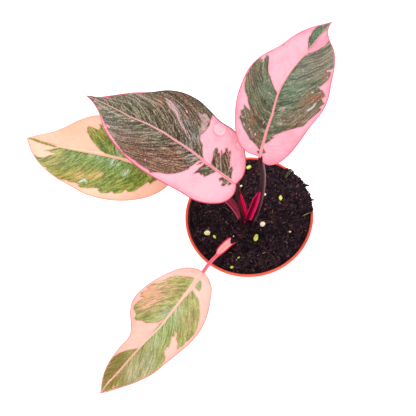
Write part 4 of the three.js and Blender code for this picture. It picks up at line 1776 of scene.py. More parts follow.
    def build_grain(self, number: int) -> Mesh:
        """Build one loose grain, lumpy and half sunk in the soil.

        Args:
            number: Its place in the list of grains.

        Returns:
            A closed mesh.
        """
        grain = self.grains[number]
        noise = SmoothNoise(40 + number)
        ball = unit(np.array(sphere_points(24, 12)))
        lumps = 1 + 0.12 * noise.at(ball, 0.8) + 0.04 * noise.at(ball, 0.3)
        points = ball * lumps[:, None] * grain.radius * np.array([grain.stretch, 1, 0.9])
        turn = math.radians(grain.heading)
        cos, sin = math.cos(turn), math.sin(turn)
        spin = np.array([[cos, -sin, 0], [sin, cos, 0], [0, 0, 1]])
        height = float(self.surface(np.array(grain.x), np.array(grain.y))) + 0.3 * grain.radius
        draft = MeshDraft(faces=sphere_faces(24, 12))
        draft.add(points @ spin.T + (grain.x, grain.y, height))
        return draft.build(f"soil_grain_{number + 1}")

    def dress(self, mesh: Mesh, group: NodeTree, bark: bool = False) -> Object:
        """Put a mesh of soil, or of bark bits on it, in the scene in its finish."""
        finish = self.bark if bark else self.finish
        mesh.materials.append(finish.material(f"{mesh.name}_earth", group))
        replaced = ("soil",) if mesh.name == "potting_soil" else ()
        return place_piece(mesh, "potting_soil", *replaced)

    def dress_grain(self, mesh: Mesh, tone: GrainTone) -> Object:
        """Put a grain in the scene in a mealy, pitted finish of its tone, which glows a little with its
        colour: painted light.
        """
        # The emission is painted light that brightens the grain.
        material, graph = new_material(f"{mesh.name}_mealy", Roughness=0.7, Emission_Strength=0.15)
        place = graph.place()
        pits = graph.noise(place, 2600.0, 2.0, 0.6)
        colour = graph.mix(graph.ease(graph.noise(place, 520.0), 0.42, 0.58), *tone.value)
        colour = graph.mix(graph.ease(pits, 0.45, 0.3) * 0.15, colour, self.bark.ruddy)
        graph.feed(Base_Color=colour, Emission_Color=colour)
        graph.bump(pits, 0.2, 0.6)
        mesh.materials.append(material)
        return place_piece(mesh, "potting_soil")


# ---------------------------------------------------------------- stem and water


@dataclass(frozen=True)
class Stem:
    """The short rooted stem under the petioles. Lengths are in millimetres."""

    axis: Point2 = (-3.0, -7.6)
    radius: float = 5.6
    bottom: float = 52.0
    top: float = 88.6
    sides: int = 64
    finish: SkinFinish = SkinFinish(
        back=srgb(36, 22, 26), hollow=srgb(60, 36, 36), shade=srgb(40, 24, 28), edge=srgb(84, 54, 46),
        stripe=srgb(72, 44, 40), stripes=0.5,
    )

    def build(self) -> Mesh:
        """Turn the stem with a swelling and a leaf scar at each node.

        Returns:
            A closed mesh.
        """
        between = 0.9 * self.radius
        corners = [
            (0, self.bottom, 0), (0.6 * self.radius, self.bottom, 1), (between, self.bottom + self.radius, 2),
            (between, self.top - 18, 1.5), (self.radius, self.top - 15, 1.2), (between, self.top - 12, 1.5),
            (between, self.top - 6, 1.5), (self.radius, self.top - 2.5, 0.8),
            (self.radius, self.top - 0.8, 0.5), (between, self.top, 0.3), (0, self.top, 0),
        ]
        mesh = lathe(rounded(corners), self.sides, "rooted_stem")
        places = np.array([vertex.co for vertex in mesh.vertices]) / MM
        swell = 1 + 0.03 * SmoothNoise(9).at(places * (1, 1, 0.4), 3.0)
        places[:, :2] *= swell[:, None]
        places[:, :2] += self.axis
        turn = np.arctan2(places[:, 1] - self.axis[1], places[:, 0] - self.axis[0]) / (2 * np.pi) + 0.5
        mesh.vertices.foreach_set("co", (places * MM).reshape(-1))
        scar = bell((places[:, 2] - self.top + 15) / 0.8) + bell((places[:, 2] - self.top + 2.5) / 0.6)
        height = (places[:, 2] - self.bottom) / (self.top - self.bottom)
        # The leaf scars are marked as lips, so they glow too: painted light.
        values = {"u": turn, "v": height, "lip": scar, "hollow": 0 * scar, "tone": 1 + 0 * scar}
        for key, value in values.items():
            keep_value(mesh, key, value)
        add_map(mesh, "skin")
        mesh.update()
        return mesh

    def dress(self, mesh: Mesh, group: NodeTree) -> Object:
        """Put the stem in the scene in its finish."""
        mesh.materials.append(self.finish.material("stem_skin", group))
        return place_piece(mesh, "stem_skin", "stem")


@dataclass(frozen=True)
class WaterDrops:
    """The drops that lie on one blade."""

    blade: Blade
    around: int = 28
    rings: int = 7
    plumpness: float = 0.6
    sunk: float = -0.35

    def build(self) -> Mesh:
        """Build each drop as a shallow cap, closed and sunk a little into the blade.

        Returns:
            A mesh of closed drops.
        """
        draft = MeshDraft()
        slopes = np.linspace(0, np.pi / 2, self.rings)[1:]
        shares = np.r_[0.0, np.sin(slopes), 0.9, 0.0]
        lifts = np.r_[1.0, np.cos(slopes), self.sunk, self.sunk]
        for drop in self.blade.drops:
            rings = []
            for share, lift in zip(shares, lifts):
                ring = self.ring(drop, share, lift, angles(self.around if share else 1))
                rings.append(np.resize(draft.add(ring), self.around))
            draft.skin(rings, flipped=True)
        return draft.build(f"water_on_{self.blade.name}")

    def ring(self, drop: Drop, share: float, lift: float, turns: Array) -> Array:
        """Place one ring of a drop on the blade's upper face.

        Args:
            drop: The drop.
            share: The ring's share of the drop's radius.
            lift: The ring's share of the drop's height.
            turns: Directions of its points.

        Returns:
            The ring's points in space.
        """
        shape = self.blade.shape
        x = drop.x + share * drop.radius * np.cos(turns)
        y = drop.y + share * drop.radius * np.sin(turns)
        above = self.blade.half + self.plumpness * drop.radius * lift
        return shape.at(x, y) + shape.normal(x, y) * above

    def dress(self, mesh: Mesh) -> Object:
        """Put the drops in the scene as clear water."""
        clear = {"Base_Color": WHITE, "IOR": 1.33, "Transmission_Weight": 1.0, "Roughness": 0.02}
        mesh.materials.append(new_material(f"{mesh.name}_clear", **clear)[0])
        piece = place_piece(mesh, self.blade.slot)
        piece.visible_shadow = False
        return piece


# ---------------------------------------------------------------- the plant's leaves

MAROON_STALK = SkinFinish(
    back=srgb(62, 16, 34), hollow=srgb(250, 36, 108), shade=srgb(100, 4, 38), edge=srgb(222, 26, 84),
    stripe=srgb(136, 92, 96), stripes=0.12,
)
CRIMSON_STALK = SkinFinish(
    back=srgb(64, 30, 32), hollow=srgb(255, 16, 88), shade=srgb(84, 16, 30), edge=srgb(124, 24, 48),
    stripe=srgb(150, 48, 62), stripes=0.15,
)
PLUM_STALK = SkinFinish(
    back=srgb(60, 18, 30), hollow=srgb(150, 44, 72), shade=srgb(84, 6, 30), edge=srgb(206, 70, 100),
    stripe=srgb(130, 50, 76), glow=0.2,
)
ROSE_STALK = SkinFinish(
    back=srgb(255, 132, 144), hollow=srgb(255, 192, 188), shade=srgb(255, 172, 170), edge=srgb(200, 30, 74),
    stripe=srgb(246, 40, 92), stripes=0.8,
)

UPPER_LEFT = Blade(
    name="upper_left", slot="leaf_maroon_pink",
    shape=BladeShape(
        junction=(-5.7, 0.8, 158), heading=140.7, length=150.5, pitch=30, bend=32, roll=-10, fold=11, bow=-1,
        hook=2, wave=1.2, waves=3.2,
        left=(
            (-2, 3), (-3, 9), (0, 18), (9, 26), (21, 31), (37, 32.5), (54, 34), (72, 34), (88, 32), (104, 27),
            (119, 19.5), (131, 10), (142, 4.5),
        ),
        right=(
            (-1, -5), (0, -12), (6, -22), (15, -30), (26, -34.5), (40, -34.5), (52, -37.5), (63, -39.5),
            (76, -38), (88, -33), (99, -25.5), (113, -18), (127, -8.5), (139, -1.5), (146, 0.5),
        ),
    ),
    finish=LeafFinish(
        green=srgb(114, 104, 74), deep=srgb(56, 47, 32), bronze=srgb(136, 86, 64), cool=srgb(90, 108, 68),
        rust=srgb(196, 118, 70), bloom=srgb(158, 164, 170), thread=srgb(196, 162, 144),
        pale=srgb(255, 190, 203), blush=srgb(250, 146, 168), margin=srgb(230, 76, 108),
        midrib=srgb(255, 172, 186), veil=srgb(214, 172, 170), threads=0.95, furrows=1.15, veins=0.2,
        ragged=2.8, shift=1.0,
    ),
    drops=(Drop(36.5, -29, 5), Drop(26.5, -31.5, 2), Drop(16.5, -27, 2.8), Drop(101.5, 2.5, 1.5)),
    rib_wide=1.6, rib_taper=0.7,
    rib_sway=(
        (0, 0), (2, 0.6), (15.5, 0.9), (28.5, 0.6), (42, -0.2), (49.5, -0.6), (62.5, -0.6), (73.5, -1.1),
        (81.5, -0.7), (89.5, -0.3), (97, 0.6), (104.5, 1.4), (112.5, 1.1), (123.5, 0.7), (138, 0.4),
        (150.5, 0),
    ),
    groove_side=1.0,
    greens=(
        (
            (48, -37), (47, -33.5), (46.5, -30), (45, -27), (45.5, -22), (46, -18.5), (47, -15.5),
            (44.5, -12), (41, -10.5), (36.5, -3.5), (33, -0.5), (36.5, 2), (39, 9), (40, 13), (42.5, 17),
            (47, 22), (51.5, 25.5), (59, 29), (64.5, 32), (67.5, 31), (71.5, 31.5), (76.5, 31), (82, 30.5),
            (91.5, 30), (103.5, 25), (114, 20), (121, 15.5), (126.5, 12), (135, 7), (142.5, 4), (149.5, 3),
            (149.5, 0.5), (140, -0.5), (133, -3.5), (123.5, -10.5), (116, -15), (105, -21.5), (105, -26),
            (89.5, -35.5), (76.5, -40.5), (62.5, -42),
        ),
        (
            (26.5, -1), (28, -6), (30, -10.5), (31, -13.5), (30, -15), (28.5, -14.2), (27, -11.5),
            (26.2, -13), (24, -11), (21.8, -8), (24.5, -12.5), (26, -15.3), (25, -15.3), (23.5, -12.5),
            (23, -16), (24, -18.7), (23.2, -19.6), (22, -18.6), (21, -17), (19.5, -19), (18, -17), (16, -13),
            (13.5, -9.5), (12, -6), (11.5, -9.5), (9.5, -8), (8, -4.5), (5.5, -1.5), (6, 0), (15, 0.5),
            (24, 0.5),
        ),
        (
            (34.5, 13.5), (33.5, 10), (33, 6.5), (31.5, 1.5), (27.5, 0.5), (20, 1), (22, 5), (23.5, 7.5),
            (25.5, 11), (27, 10), (29, 11), (31, 10.5), (32.5, 12),
        ),
        ((36, 6), (35, 2.5), (33, 1), (34, 4)),
        (
            (14.3, 5), (13.5, 2.5), (10, 1.5), (7, 1.5), (3, 1.5), (3.8, 4), (5, 5.2), (5.5, 4), (6.5, 4),
            (7, 7), (8.5, 9), (9.8, 8.5), (10, 6), (10.5, 4.8), (12, 4.3), (13, 6),
        ),
    ),
    holes=(
        ((68.0, -27.2), (66.4, -27.5), (64.4, -25.6), (66, -25.2)),
        ((119.5, 15.5), (117, 16), (113.5, 17), (113.5, 18), (117, 17.5)),
        ((74.5, 25.5), (73.5, 24.5), (72.5, 25.5), (73.5, 26.5)),
    ),
    veils=(
        (
            (60, -32.5), (56.5, -31), (54, -31.5), (52, -33.5), (49, -32), (47, -30.5), (46, -25.5),
            (45.5, -21), (46.5, -17.5), (49.5, -18), (50, -22.5), (53, -27), (57, -29.5),
        ),
        (
            (88, -28), (86, -27.5), (83.5, -26.5), (82, -28), (78.5, -26.5), (73.5, -23.5), (69.5, -21.5),
            (64, -17.5), (59, -14), (55, -11), (51.5, -8.5), (54, -8.5), (58.5, -10.5), (63.5, -13.5),
            (68.5, -16.5), (74, -19.5), (78, -21), (81.5, -22), (85, -25),
        ),
    ),
    veins=(
        ((95, -1.5), (116, -4.5), (130.5, -2), (137, -1.5)),
        (
            (86, -3.5), (94, -8), (100.5, -11), (106.5, -13), (113, -12.5), (117, -12),
        ),
        (
            (79.5, -11.5), (84.5, -15), (88.5, -17.5), (95, -18.5), (102, -18.5), (109.5, -18),
        ),
        ((105, 1), (115, 4.5), (122, 5), (133.5, 4), (140, 3)),
        ((74, -2.5), (94.5, 12), (104, 14), (110.5, 15), (115, 15.5)),
        ((94, -22.5), (90, -22.5), (86.5, -21.5)), ((93.5, -19), (90.5, -18), (84, -14.5)),
        ((23, -10), (17, -2)), ((110, -8.5), (124, -6), (136, -2.5)),
    ),
    tints=(
        Tint(66, 22, 20, warm=0.9, shade=-0.05), Tint(90, 20, 18, warm=0.6), Tint(50, 15, 12, warm=0.7),
        Tint(22, -13, 9, warm=0.9, shade=-0.05), Tint(26, 6, 8, warm=-0.3), Tint(78, 6, 12, warm=-0.9),
        Tint(100, -2, 16, warm=-0.5), Tint(60, -6, 10, shade=-0.25), Tint(75, -34, 14, warm=0.5, shade=-0.15),
        Tint(45, 5, 6, warm=-0.5, shade=0.2), Tint(20, 18, 14, flush=-0.2), Tint(12, -24, 12, flush=0.1),
        Tint(74, -24.5, 4, bloom=0.5), Tint(62, -17, 5, bloom=0.5), Tint(50, -13, 6, bloom=0.45),
        Tint(52, -1, 5, bloom=0.35), Tint(42, 3, 5, bloom=0.4), Tint(58.5, -13.3, 2, shade=-0.5),
        Tint(99, -26, 8, dusk=1), Tint(88, -33, 9, dusk=1), Tint(76, -38, 9, dusk=1),
        Tint(63, -39.5, 9, dusk=1), Tint(52, -38, 9, dusk=1), Tint(40, -35, 8, dusk=0.8),
        Tint(29, -35, 7, dusk=0.6), Tint(89, -22.5, 2.2, rust=0.9), Tint(149, 1.5, 6, dusk=1, shade=-0.4),
        Tint(122, 5, 16, warm=-0.55), Tint(112, -9, 12, warm=-0.4),
    ),
)

UPPER_RIGHT = Blade(
    name="upper_right", slot="leaf_grey_pink",
    shape=BladeShape(
        junction=(17.1, 7.7, 183), heading=48.4, length=118.5, pitch=38, bend=32, roll=0, fold=11, bow=8.3,
        hook=0.6, wave=1.0, waves=2.6,
        left=(
            (0, 4), (-0.5, 11), (2, 19), (9, 26), (20, 32.5), (32, 37), (46, 39), (59, 39), (71, 35),
            (84, 26), (96, 20), (107, 12), (114, 5),
        ),
        right=(
            (-2, -3), (-2, -8), (3, -15), (12, -20), (24, -23.5), (38, -26), (52, -28.5), (62, -27.5),
            (73, -24), (85, -20), (95, -14), (103, -5.5), (109, -0.5), (114.5, 0.8),
        ),
    ),
    finish=LeafFinish(
        green=srgb(112, 119, 87), deep=srgb(64, 66, 46), bronze=srgb(140, 104, 82), cool=srgb(88, 118, 88),
        rust=srgb(142, 80, 40), bloom=srgb(225, 225, 222), thread=srgb(190, 168, 154),
        pale=srgb(255, 185, 200), blush=srgb(250, 140, 160), margin=srgb(228, 116, 140),
        midrib=srgb(252, 150, 158), veil=srgb(236, 190, 190), threads=0.5, furrows=0.42, veins=0.2,
        ragged=2.4, shift=2.0,
    ),
    drops=(
        Drop(32, -2.5, 2.3), Drop(24.5, 26.5, 2.0), Drop(56.5, 21, 1.3), Drop(69, -6.5, 1.3),
        Drop(62, -14.5, 1.1), Drop(18, 23, 1.2), Drop(48, 16, 0.9), Drop(75.5, -19.5, 1.0),
    ),
    lean=(0.2, 0.7), sweep=0.6, rib_wide=1.35,
    rib_sway=(
        (0, 0), (3.5, 0.5), (13, -0.2), (20.5, -0.3), (34, -0.8), (49.5, 1.4), (57.5, 1.7), (69.5, 0.9),
        (80, -0.4), (89, -1.4), (101, -1), (113, -0.5), (118.5, 0),
    ),
    greens=(
        (
            (5.5, 3.5), (8.5, 9), (10, 14), (13, 18.5), (15.5, 22.5), (19, 26), (21.5, 29), (23.5, 28.5),
            (27, 30), (29, 28), (32, 30), (31, 27.5), (29.5, 23), (32.5, 25.5), (37.5, 29.5), (42, 34),
            (47, 36.5), (52, 38), (57.5, 38), (63.5, 38), (67, 37), (69, 35), (67.5, 34), (68.5, 33),
            (66, 31.5), (70, 31.5), (73, 31.5), (72, 29.5), (68.5, 27.5), (65, 26), (61, 23.5), (56, 18),
            (52.5, 13.5), (50, 10), (48, 8), (30, 6), (10, 3),
        ),
        (
            (10.5, 2.5), (20.5, 4.4), (31, 5.6), (40.5, 7), (50.5, 9), (60, 9.6), (69.5, 8.6), (80, 7),
            (83.5, 5.5), (87.5, 3.5), (91.5, -1), (97, -4.5), (103, -5.5), (100, -13), (92, -18.5), (85, -20),
            (81.5, -18.5), (80, -16), (79, -16.5), (80, -19.5), (77.5, -20.5), (74, -20.5), (71.5, -19.5),
            (68, -18), (66.5, -16), (66, -19), (65, -21.5), (62.5, -25), (60.5, -23.5), (58.5, -24.5),
            (58, -27), (53.5, -24.5), (53.5, -27), (49, -25.5), (44.5, -23.5), (42, -22.5), (37, -21),
            (34, -17.5), (30.5, -13), (27.5, -9), (25, -7), (21.5, -3), (19, -1.5), (19.5, -3.5),
            (15.5, -1.5),
        ),
        (
            (89.5, 5), (94, 8), (99, 10), (104.5, 10), (109.5, 8.5), (114.5, 5), (116.5, 2), (110, 1),
            (105, 2.5), (100, 3.5), (93.5, 4),
        ),
        (
            (4, 5), (5, 3), (2.5, 0.5), (1.5, -1.5), (2, 1.5), (2.5, 3.5),
        ),
        ((8, 1), (6, -2), (3.5, -0.5), (5.5, 1)),
    ),
    holes=(
        ((28, 9), (26, 10), (24, 9.8), (26, 9)), ((18, 17.3), (16.5, 18.3), (15.5, 17)),
        ((16.5, 12.4), (14.5, 12.2), (13.7, 11.1), (15.5, 11.1)),
    ),
    veins=(((34, 6.5), (41, 2), (45, -5)),),
    tints=(
        Tint(18, 22, 9, warm=0.9, shade=-0.15), Tint(11, 9, 8, warm=0.8, shade=-0.25),
        Tint(41, -20, 9, warm=0.9), Tint(37, -9, 7, warm=0.5), Tint(60.5, -21.5, 4, rust=0.9, warm=0.6),
        Tint(57, -15, 4, rust=0.8), Tint(51, -12.5, 4, warm=0.5, rust=0.3), Tint(84, -8, 12, warm=0.4),
        Tint(62, -15, 3, shade=-0.25), Tint(50.5, -24, 4, warm=0.8), Tint(85.3, 24.3, 0.9, flush=3.2),
        Tint(25, 17, 3.5, rust=0.8), Tint(97, -3, 6, flush=0.9), Tint(91, 1, 4, flush=0.7),
        Tint(76, -18, 4, warm=0.7), Tint(53, 32, 10, warm=0.6), Tint(56, 4, 14, warm=-0.7),
        Tint(51, 23, 8, warm=-0.5), Tint(104, 6, 10, warm=-1.2, shade=0.25),
        Tint(33, 20, 8, warm=0.4, shade=-0.1), Tint(30, 8, 8, shade=-0.15), Tint(98, -1, 6, flush=0.8),
        Tint(24, -14, 10, flush=0.3), Tint(4, -10, 8, flush=0.4), Tint(48.7, -18.5, 0.8, bloom=1.2),
        Tint(50.5, -19.8, 0.8, bloom=1.2), Tint(52.5, -20.6, 0.8, bloom=1.2),
        Tint(54.3, -20.8, 0.8, bloom=1.0),
    ),
)

LEFT = Blade(
    name="left", slot="leaf_green_peach",
    shape=BladeShape(
        junction=(-69, 40.9, 126), heading=160, length=134.7, pitch=20, bend=20, roll=-10, fold=9, bow=0.6,
        hook=-3.5, wave=1.2, waves=2.8,
        left=(
            (-5, 3), (-7, 8), (-4, 15.5), (5, 25), (18, 32.5), (34, 38), (50, 40), (65, 39), (80, 34.5),
            (95, 30), (108, 23.5), (119, 16), (128, 6.5),
        ),
        right=(
            (-4, -4), (-3, -10), (3, -17.5), (14, -26), (28, -34), (44, -40), (60, -38.5), (75, -35),
            (87, -28), (98, -20), (110, -13), (122, -8.5),
        ),
    ),
    finish=LeafFinish(
        green=srgb(146, 158, 60), deep=srgb(84, 108, 32), bronze=srgb(188, 162, 84), cool=srgb(108, 148, 76),
        rust=srgb(204, 160, 96), bloom=srgb(214, 232, 216), thread=srgb(196, 190, 116),
        pale=srgb(255, 205, 178), blush=srgb(255, 188, 160), margin=srgb(246, 150, 134),
        midrib=srgb(255, 190, 172), veil=srgb(214, 176, 112), threads=0.65, furrows=0.6, veins=0.25,
        ragged=2.8, shift=3.0, glow=0.07,
    ),
    drops=(Drop(35.5, 10, 1.6), Drop(49, 5, 0.9)), lean=(0.3, 0.9), sweep=0.3, rib_wide=1.9,
    rib_sway=(
        (0, 0), (36.5, -1), (43, -1.5), (55.5, -1), (71, -0.3), (90, 0.7), (111.5, 1.3), (132.5, 0.7),
        (134.7, 0),
    ),
    greens=(
        (
            (122.5, 11.5), (117.5, 13.5), (113.5, 13.5), (110, 12), (107.5, 10), (103.5, 8.5), (102.5, 7),
            (107.5, 7), (107.5, 6), (114, 6.5), (107.5, 4), (103.5, 2), (98, 0.5), (90, 0.5), (80.5, 0),
            (73, -0.5), (66.5, 0), (61.5, 0.5), (55.5, 0), (50, -0.5), (44.5, -0.5), (37, 0), (23.5, 1),
            (11, 5), (3.5, 8.5), (7.5, 11.5), (10, 16), (12.5, 14), (16, 19), (19.5, 22.5), (22.5, 26),
            (27.5, 28), (30, 26.5), (31, 27), (32.5, 30), (38.5, 32.5), (40.5, 32), (41.5, 31), (44, 33),
            (51, 35), (54.5, 33), (53, 31), (57.5, 31.5), (62.5, 33), (71, 34), (73.5, 33), (72.5, 31),
            (76.5, 31.5), (75.5, 30.5), (82, 31), (85.5, 30), (91, 30.5), (97.5, 28.5), (102, 26.5),
            (106, 24), (105.5, 22.5), (110, 21.5), (116, 18), (121.5, 13),
        ),
        (
            (78.5, -22.5), (77, -24), (74, -23.5), (68, -22), (67, -24.5), (69, -28), (67.5, -28), (60, -24),
            (50.5, -23.5), (39.5, -17.5), (32, -10), (30.5, -4.5), (36, -2.5), (42.5, -2), (49, -2),
            (56.5, -2), (62, -4.5), (65, -6.5), (70.5, -10.5), (74, -13.5), (78, -18),
        ),
        (
            (134, -3.4), (128, -3.8), (120, -2.6), (112, -1.4), (102, 0.2), (104, 1.2), (112, 0.6),
            (120, -0.4), (128, -1.8),
        ),
    ),
    rib_end=112.0,
    veils=(
        ((60, 18.5), (54.5, 14.5), (53, 17), (59, 22.5)), ((79, 25), (75, 20), (68, 22), (72, 27)),
    ),
    tints=(
        Tint(58, 8, 12, warm=-0.9), Tint(38, 7, 10, warm=-0.8, shade=0.15),
        Tint(80, 7, 12, warm=-0.5, shade=-0.1), Tint(70, 24, 14, warm=0.7), Tint(90, 24, 12, warm=0.4),
        Tint(52, 28, 8, warm=-0.2, shade=-0.25), Tint(60, -8, 7, shade=-0.15), Tint(66, -20, 8, warm=0.5),
        Tint(100, -12, 16, flush=0.5), Tint(70, -34, 16, flush=0.2), Tint(20, 30, 12, flush=0.4),
        Tint(125, 2, 14, flush=0.5), Tint(49.5, 3, 3, bloom=0.8), Tint(33.5, 9, 2, bloom=0.9),
        Tint(35.5, 13, 1.8, bloom=0.9), Tint(43.5, 5, 2.5, bloom=0.6), Tint(62, 2.5, 2.5, bloom=0.7),
        Tint(69.5, 2.5, 2, bloom=0.4), Tint(57, 18.5, 4.5, rust=0.7), Tint(64, 21, 4, rust=0.5),
        Tint(77, 23, 5, rust=0.45), Tint(98, 9, 7, rust=0.4), Tint(105, 18, 6, rust=0.4),
        Tint(92, 29, 6, rust=0.5), Tint(72.5, 29.5, 0.9, bloom=2), Tint(71.2, 27.5, 0.9, bloom=2),
        Tint(69.5, 26, 0.9, bloom=2), Tint(67.5, 27, 0.9, bloom=2), Tint(66.5, 28.5, 0.9, bloom=1.5),
        Tint(112, 3, 8, flush=0.5), Tint(90, -20, 10, flush=0.5), Tint(76, -22, 5, rust=0.6),
        Tint(44, -8, 6, warm=-0.6, bloom=0.2), Tint(91, 5, 9, warm=-0.6, shade=-0.2),
    ),
)

FRONT = Blade(
    name="front", slot="leaf_olive_peach",
    shape=BladeShape(
        junction=(-49.1, -53.6, 103), heading=-142.2, length=144, pitch=2, bend=28, roll=0, fold=9, bow=4.8,
        hook=1.8, wave=0.9, waves=2.4,
        left=(
            (-0.5, 3), (1, 10), (5, 17), (13, 23.5), (24, 30.5), (37, 35), (50, 36), (63, 34.5), (77, 32),
            (92, 29), (108, 22.5), (123, 14.5), (136, 7),
        ),
        right=(
            (0, -3), (3, -9), (10, -16), (20, -21.5), (34, -26.5), (47, -29), (59, -29), (69, -24),
            (77, -15.5), (85, -10), (99, -10), (116, -9), (130, -5.5),
        ),
    ),
    finish=LeafFinish(
        green=srgb(172, 172, 96), deep=srgb(122, 128, 58), bronze=srgb(150, 128, 34),
        cool=srgb(144, 172, 108), rust=srgb(228, 166, 138), bloom=srgb(206, 204, 186),
        thread=srgb(238, 196, 160), pale=srgb(255, 196, 180), blush=srgb(255, 176, 160),
        margin=srgb(250, 138, 142), midrib=srgb(255, 190, 176), veil=srgb(236, 172, 138), threads=0.35,
        furrows=0.28, veins=0.25, ragged=2.4, shift=4.0, glow=0.06,
    ),
    lean=(0.5, 1.6), sweep=0.1, rib_wide=2.0, rib_fine=0.15, rib_taper=0.64,
    rib_sway=(
        (0, 0), (6.5, -0.3), (24, 0.3), (40.5, 0.6), (60, 1.3), (80, -0.4), (98.5, -1), (118.5, -1.1),
        (143.5, -0.3), (144, 0),
    ),
    greens=(
        (
            (8.5, -1), (10, -4.5), (14.5, -10), (18.5, -15), (23, -18), (27, -19), (32.5, -22.5), (38, -26),
            (43.5, -27), (44, -26), (42.5, -23), (46, -25.5), (50, -27.5), (53.5, -25.5), (51, -21),
            (55, -23.5), (59, -24.5), (63, -24.5), (65.5, -23), (66.5, -19), (67.5, -17.5), (71.5, -16.5),
            (70.5, -13.5), (67.5, -10), (66.5, -6), (62, -1.5), (58.5, 2), (54, 3.5), (48, 4), (38.5, 3.5),
            (29.5, 3.5), (19.5, 2.5), (10, 0.5),
        ),
        (
            (17.5, 5), (18.5, 9), (19.5, 14.5), (23, 19.5), (29.5, 26.5), (35.5, 30.5), (39.5, 32),
            (45, 33.5), (49.5, 33.5), (52.5, 32.5), (57, 33), (62.5, 31), (61, 29.5), (58.5, 28.5),
            (57.5, 25), (54, 22.5), (52.5, 19.5), (56.5, 22), (58, 20.5), (57, 18.5), (62.5, 23),
            (66.5, 24.5), (67.5, 23), (70, 24), (71, 22.5), (74, 28), (77, 29.5), (82, 30), (88.5, 29.5),
            (96, 27.5), (102.5, 25.5), (111.5, 22), (120, 15.5), (131, 8.5), (141.5, 2.5), (134, 2), (117, 4),
            (96, 5), (80.5, 5), (65, 4), (50.5, 4), (36, 4), (25.5, 5),
        ),
        (
            (86.5, 4), (91, 0.5), (95.5, -3), (101.5, -6.5), (109, -9), (117.5, -8.5), (127, -6), (135.5, -2),
            (141, 1.5), (129.5, 1), (113, 3), (95.5, 4.5), (87.5, 5),
        ),
        (
            (6.5, 3.5), (12, 4), (14.5, 5.5), (14.5, 10), (13, 10.5), (9.5, 8.5), (7, 5.5),
        ),
    ),
    veils=(
        ((130, 8), (127, 8), (123, 10), (125, 10.5), (129, 9.5)),
        ((40, -26), (50, -26), (52, -20), (40, -19)),
    ),
    tints=(
        Tint(45, -25.5, 5, rust=0.8), Tint(38.5, -22, 5, rust=0.8), Tint(48.5, -16, 6, rust=0.8),
        Tint(57, -18, 6, rust=0.7), Tint(43, -13, 5, rust=0.5), Tint(30, -14, 10, rust=0.45),
        Tint(46, -22, 12, rust=0.3), Tint(104, -6, 12, warm=1.0, shade=-0.3),
        Tint(124, -4, 12, warm=1.0, shade=-0.25), Tint(130, 4, 10, warm=0.8, shade=-0.1),
        Tint(116, 9, 9, warm=0.5), Tint(46, 8, 10, warm=-1.0), Tint(65, 9, 12, warm=-0.8),
        Tint(90, 14, 10, warm=-0.3, shade=-0.15), Tint(38, 22, 10, rust=0.25), Tint(100, 18, 12, rust=0.25),
        Tint(12, 6, 6, warm=-1.0), Tint(18, 24, 12, flush=0.2), Tint(75, -14, 10, flush=0.3),
        Tint(48, 1, 6, bloom=0.35), Tint(38.5, 7.5, 5, bloom=0.3), Tint(89, 21.5, 9, bloom=0.4),
        Tint(108, 15, 9, bloom=0.35), Tint(100, 12, 6, warm=-0.4), Tint(72, 12, 6, bloom=0.2),
    ),
)

BLADES = (UPPER_LEFT, UPPER_RIGHT, LEFT, FRONT)

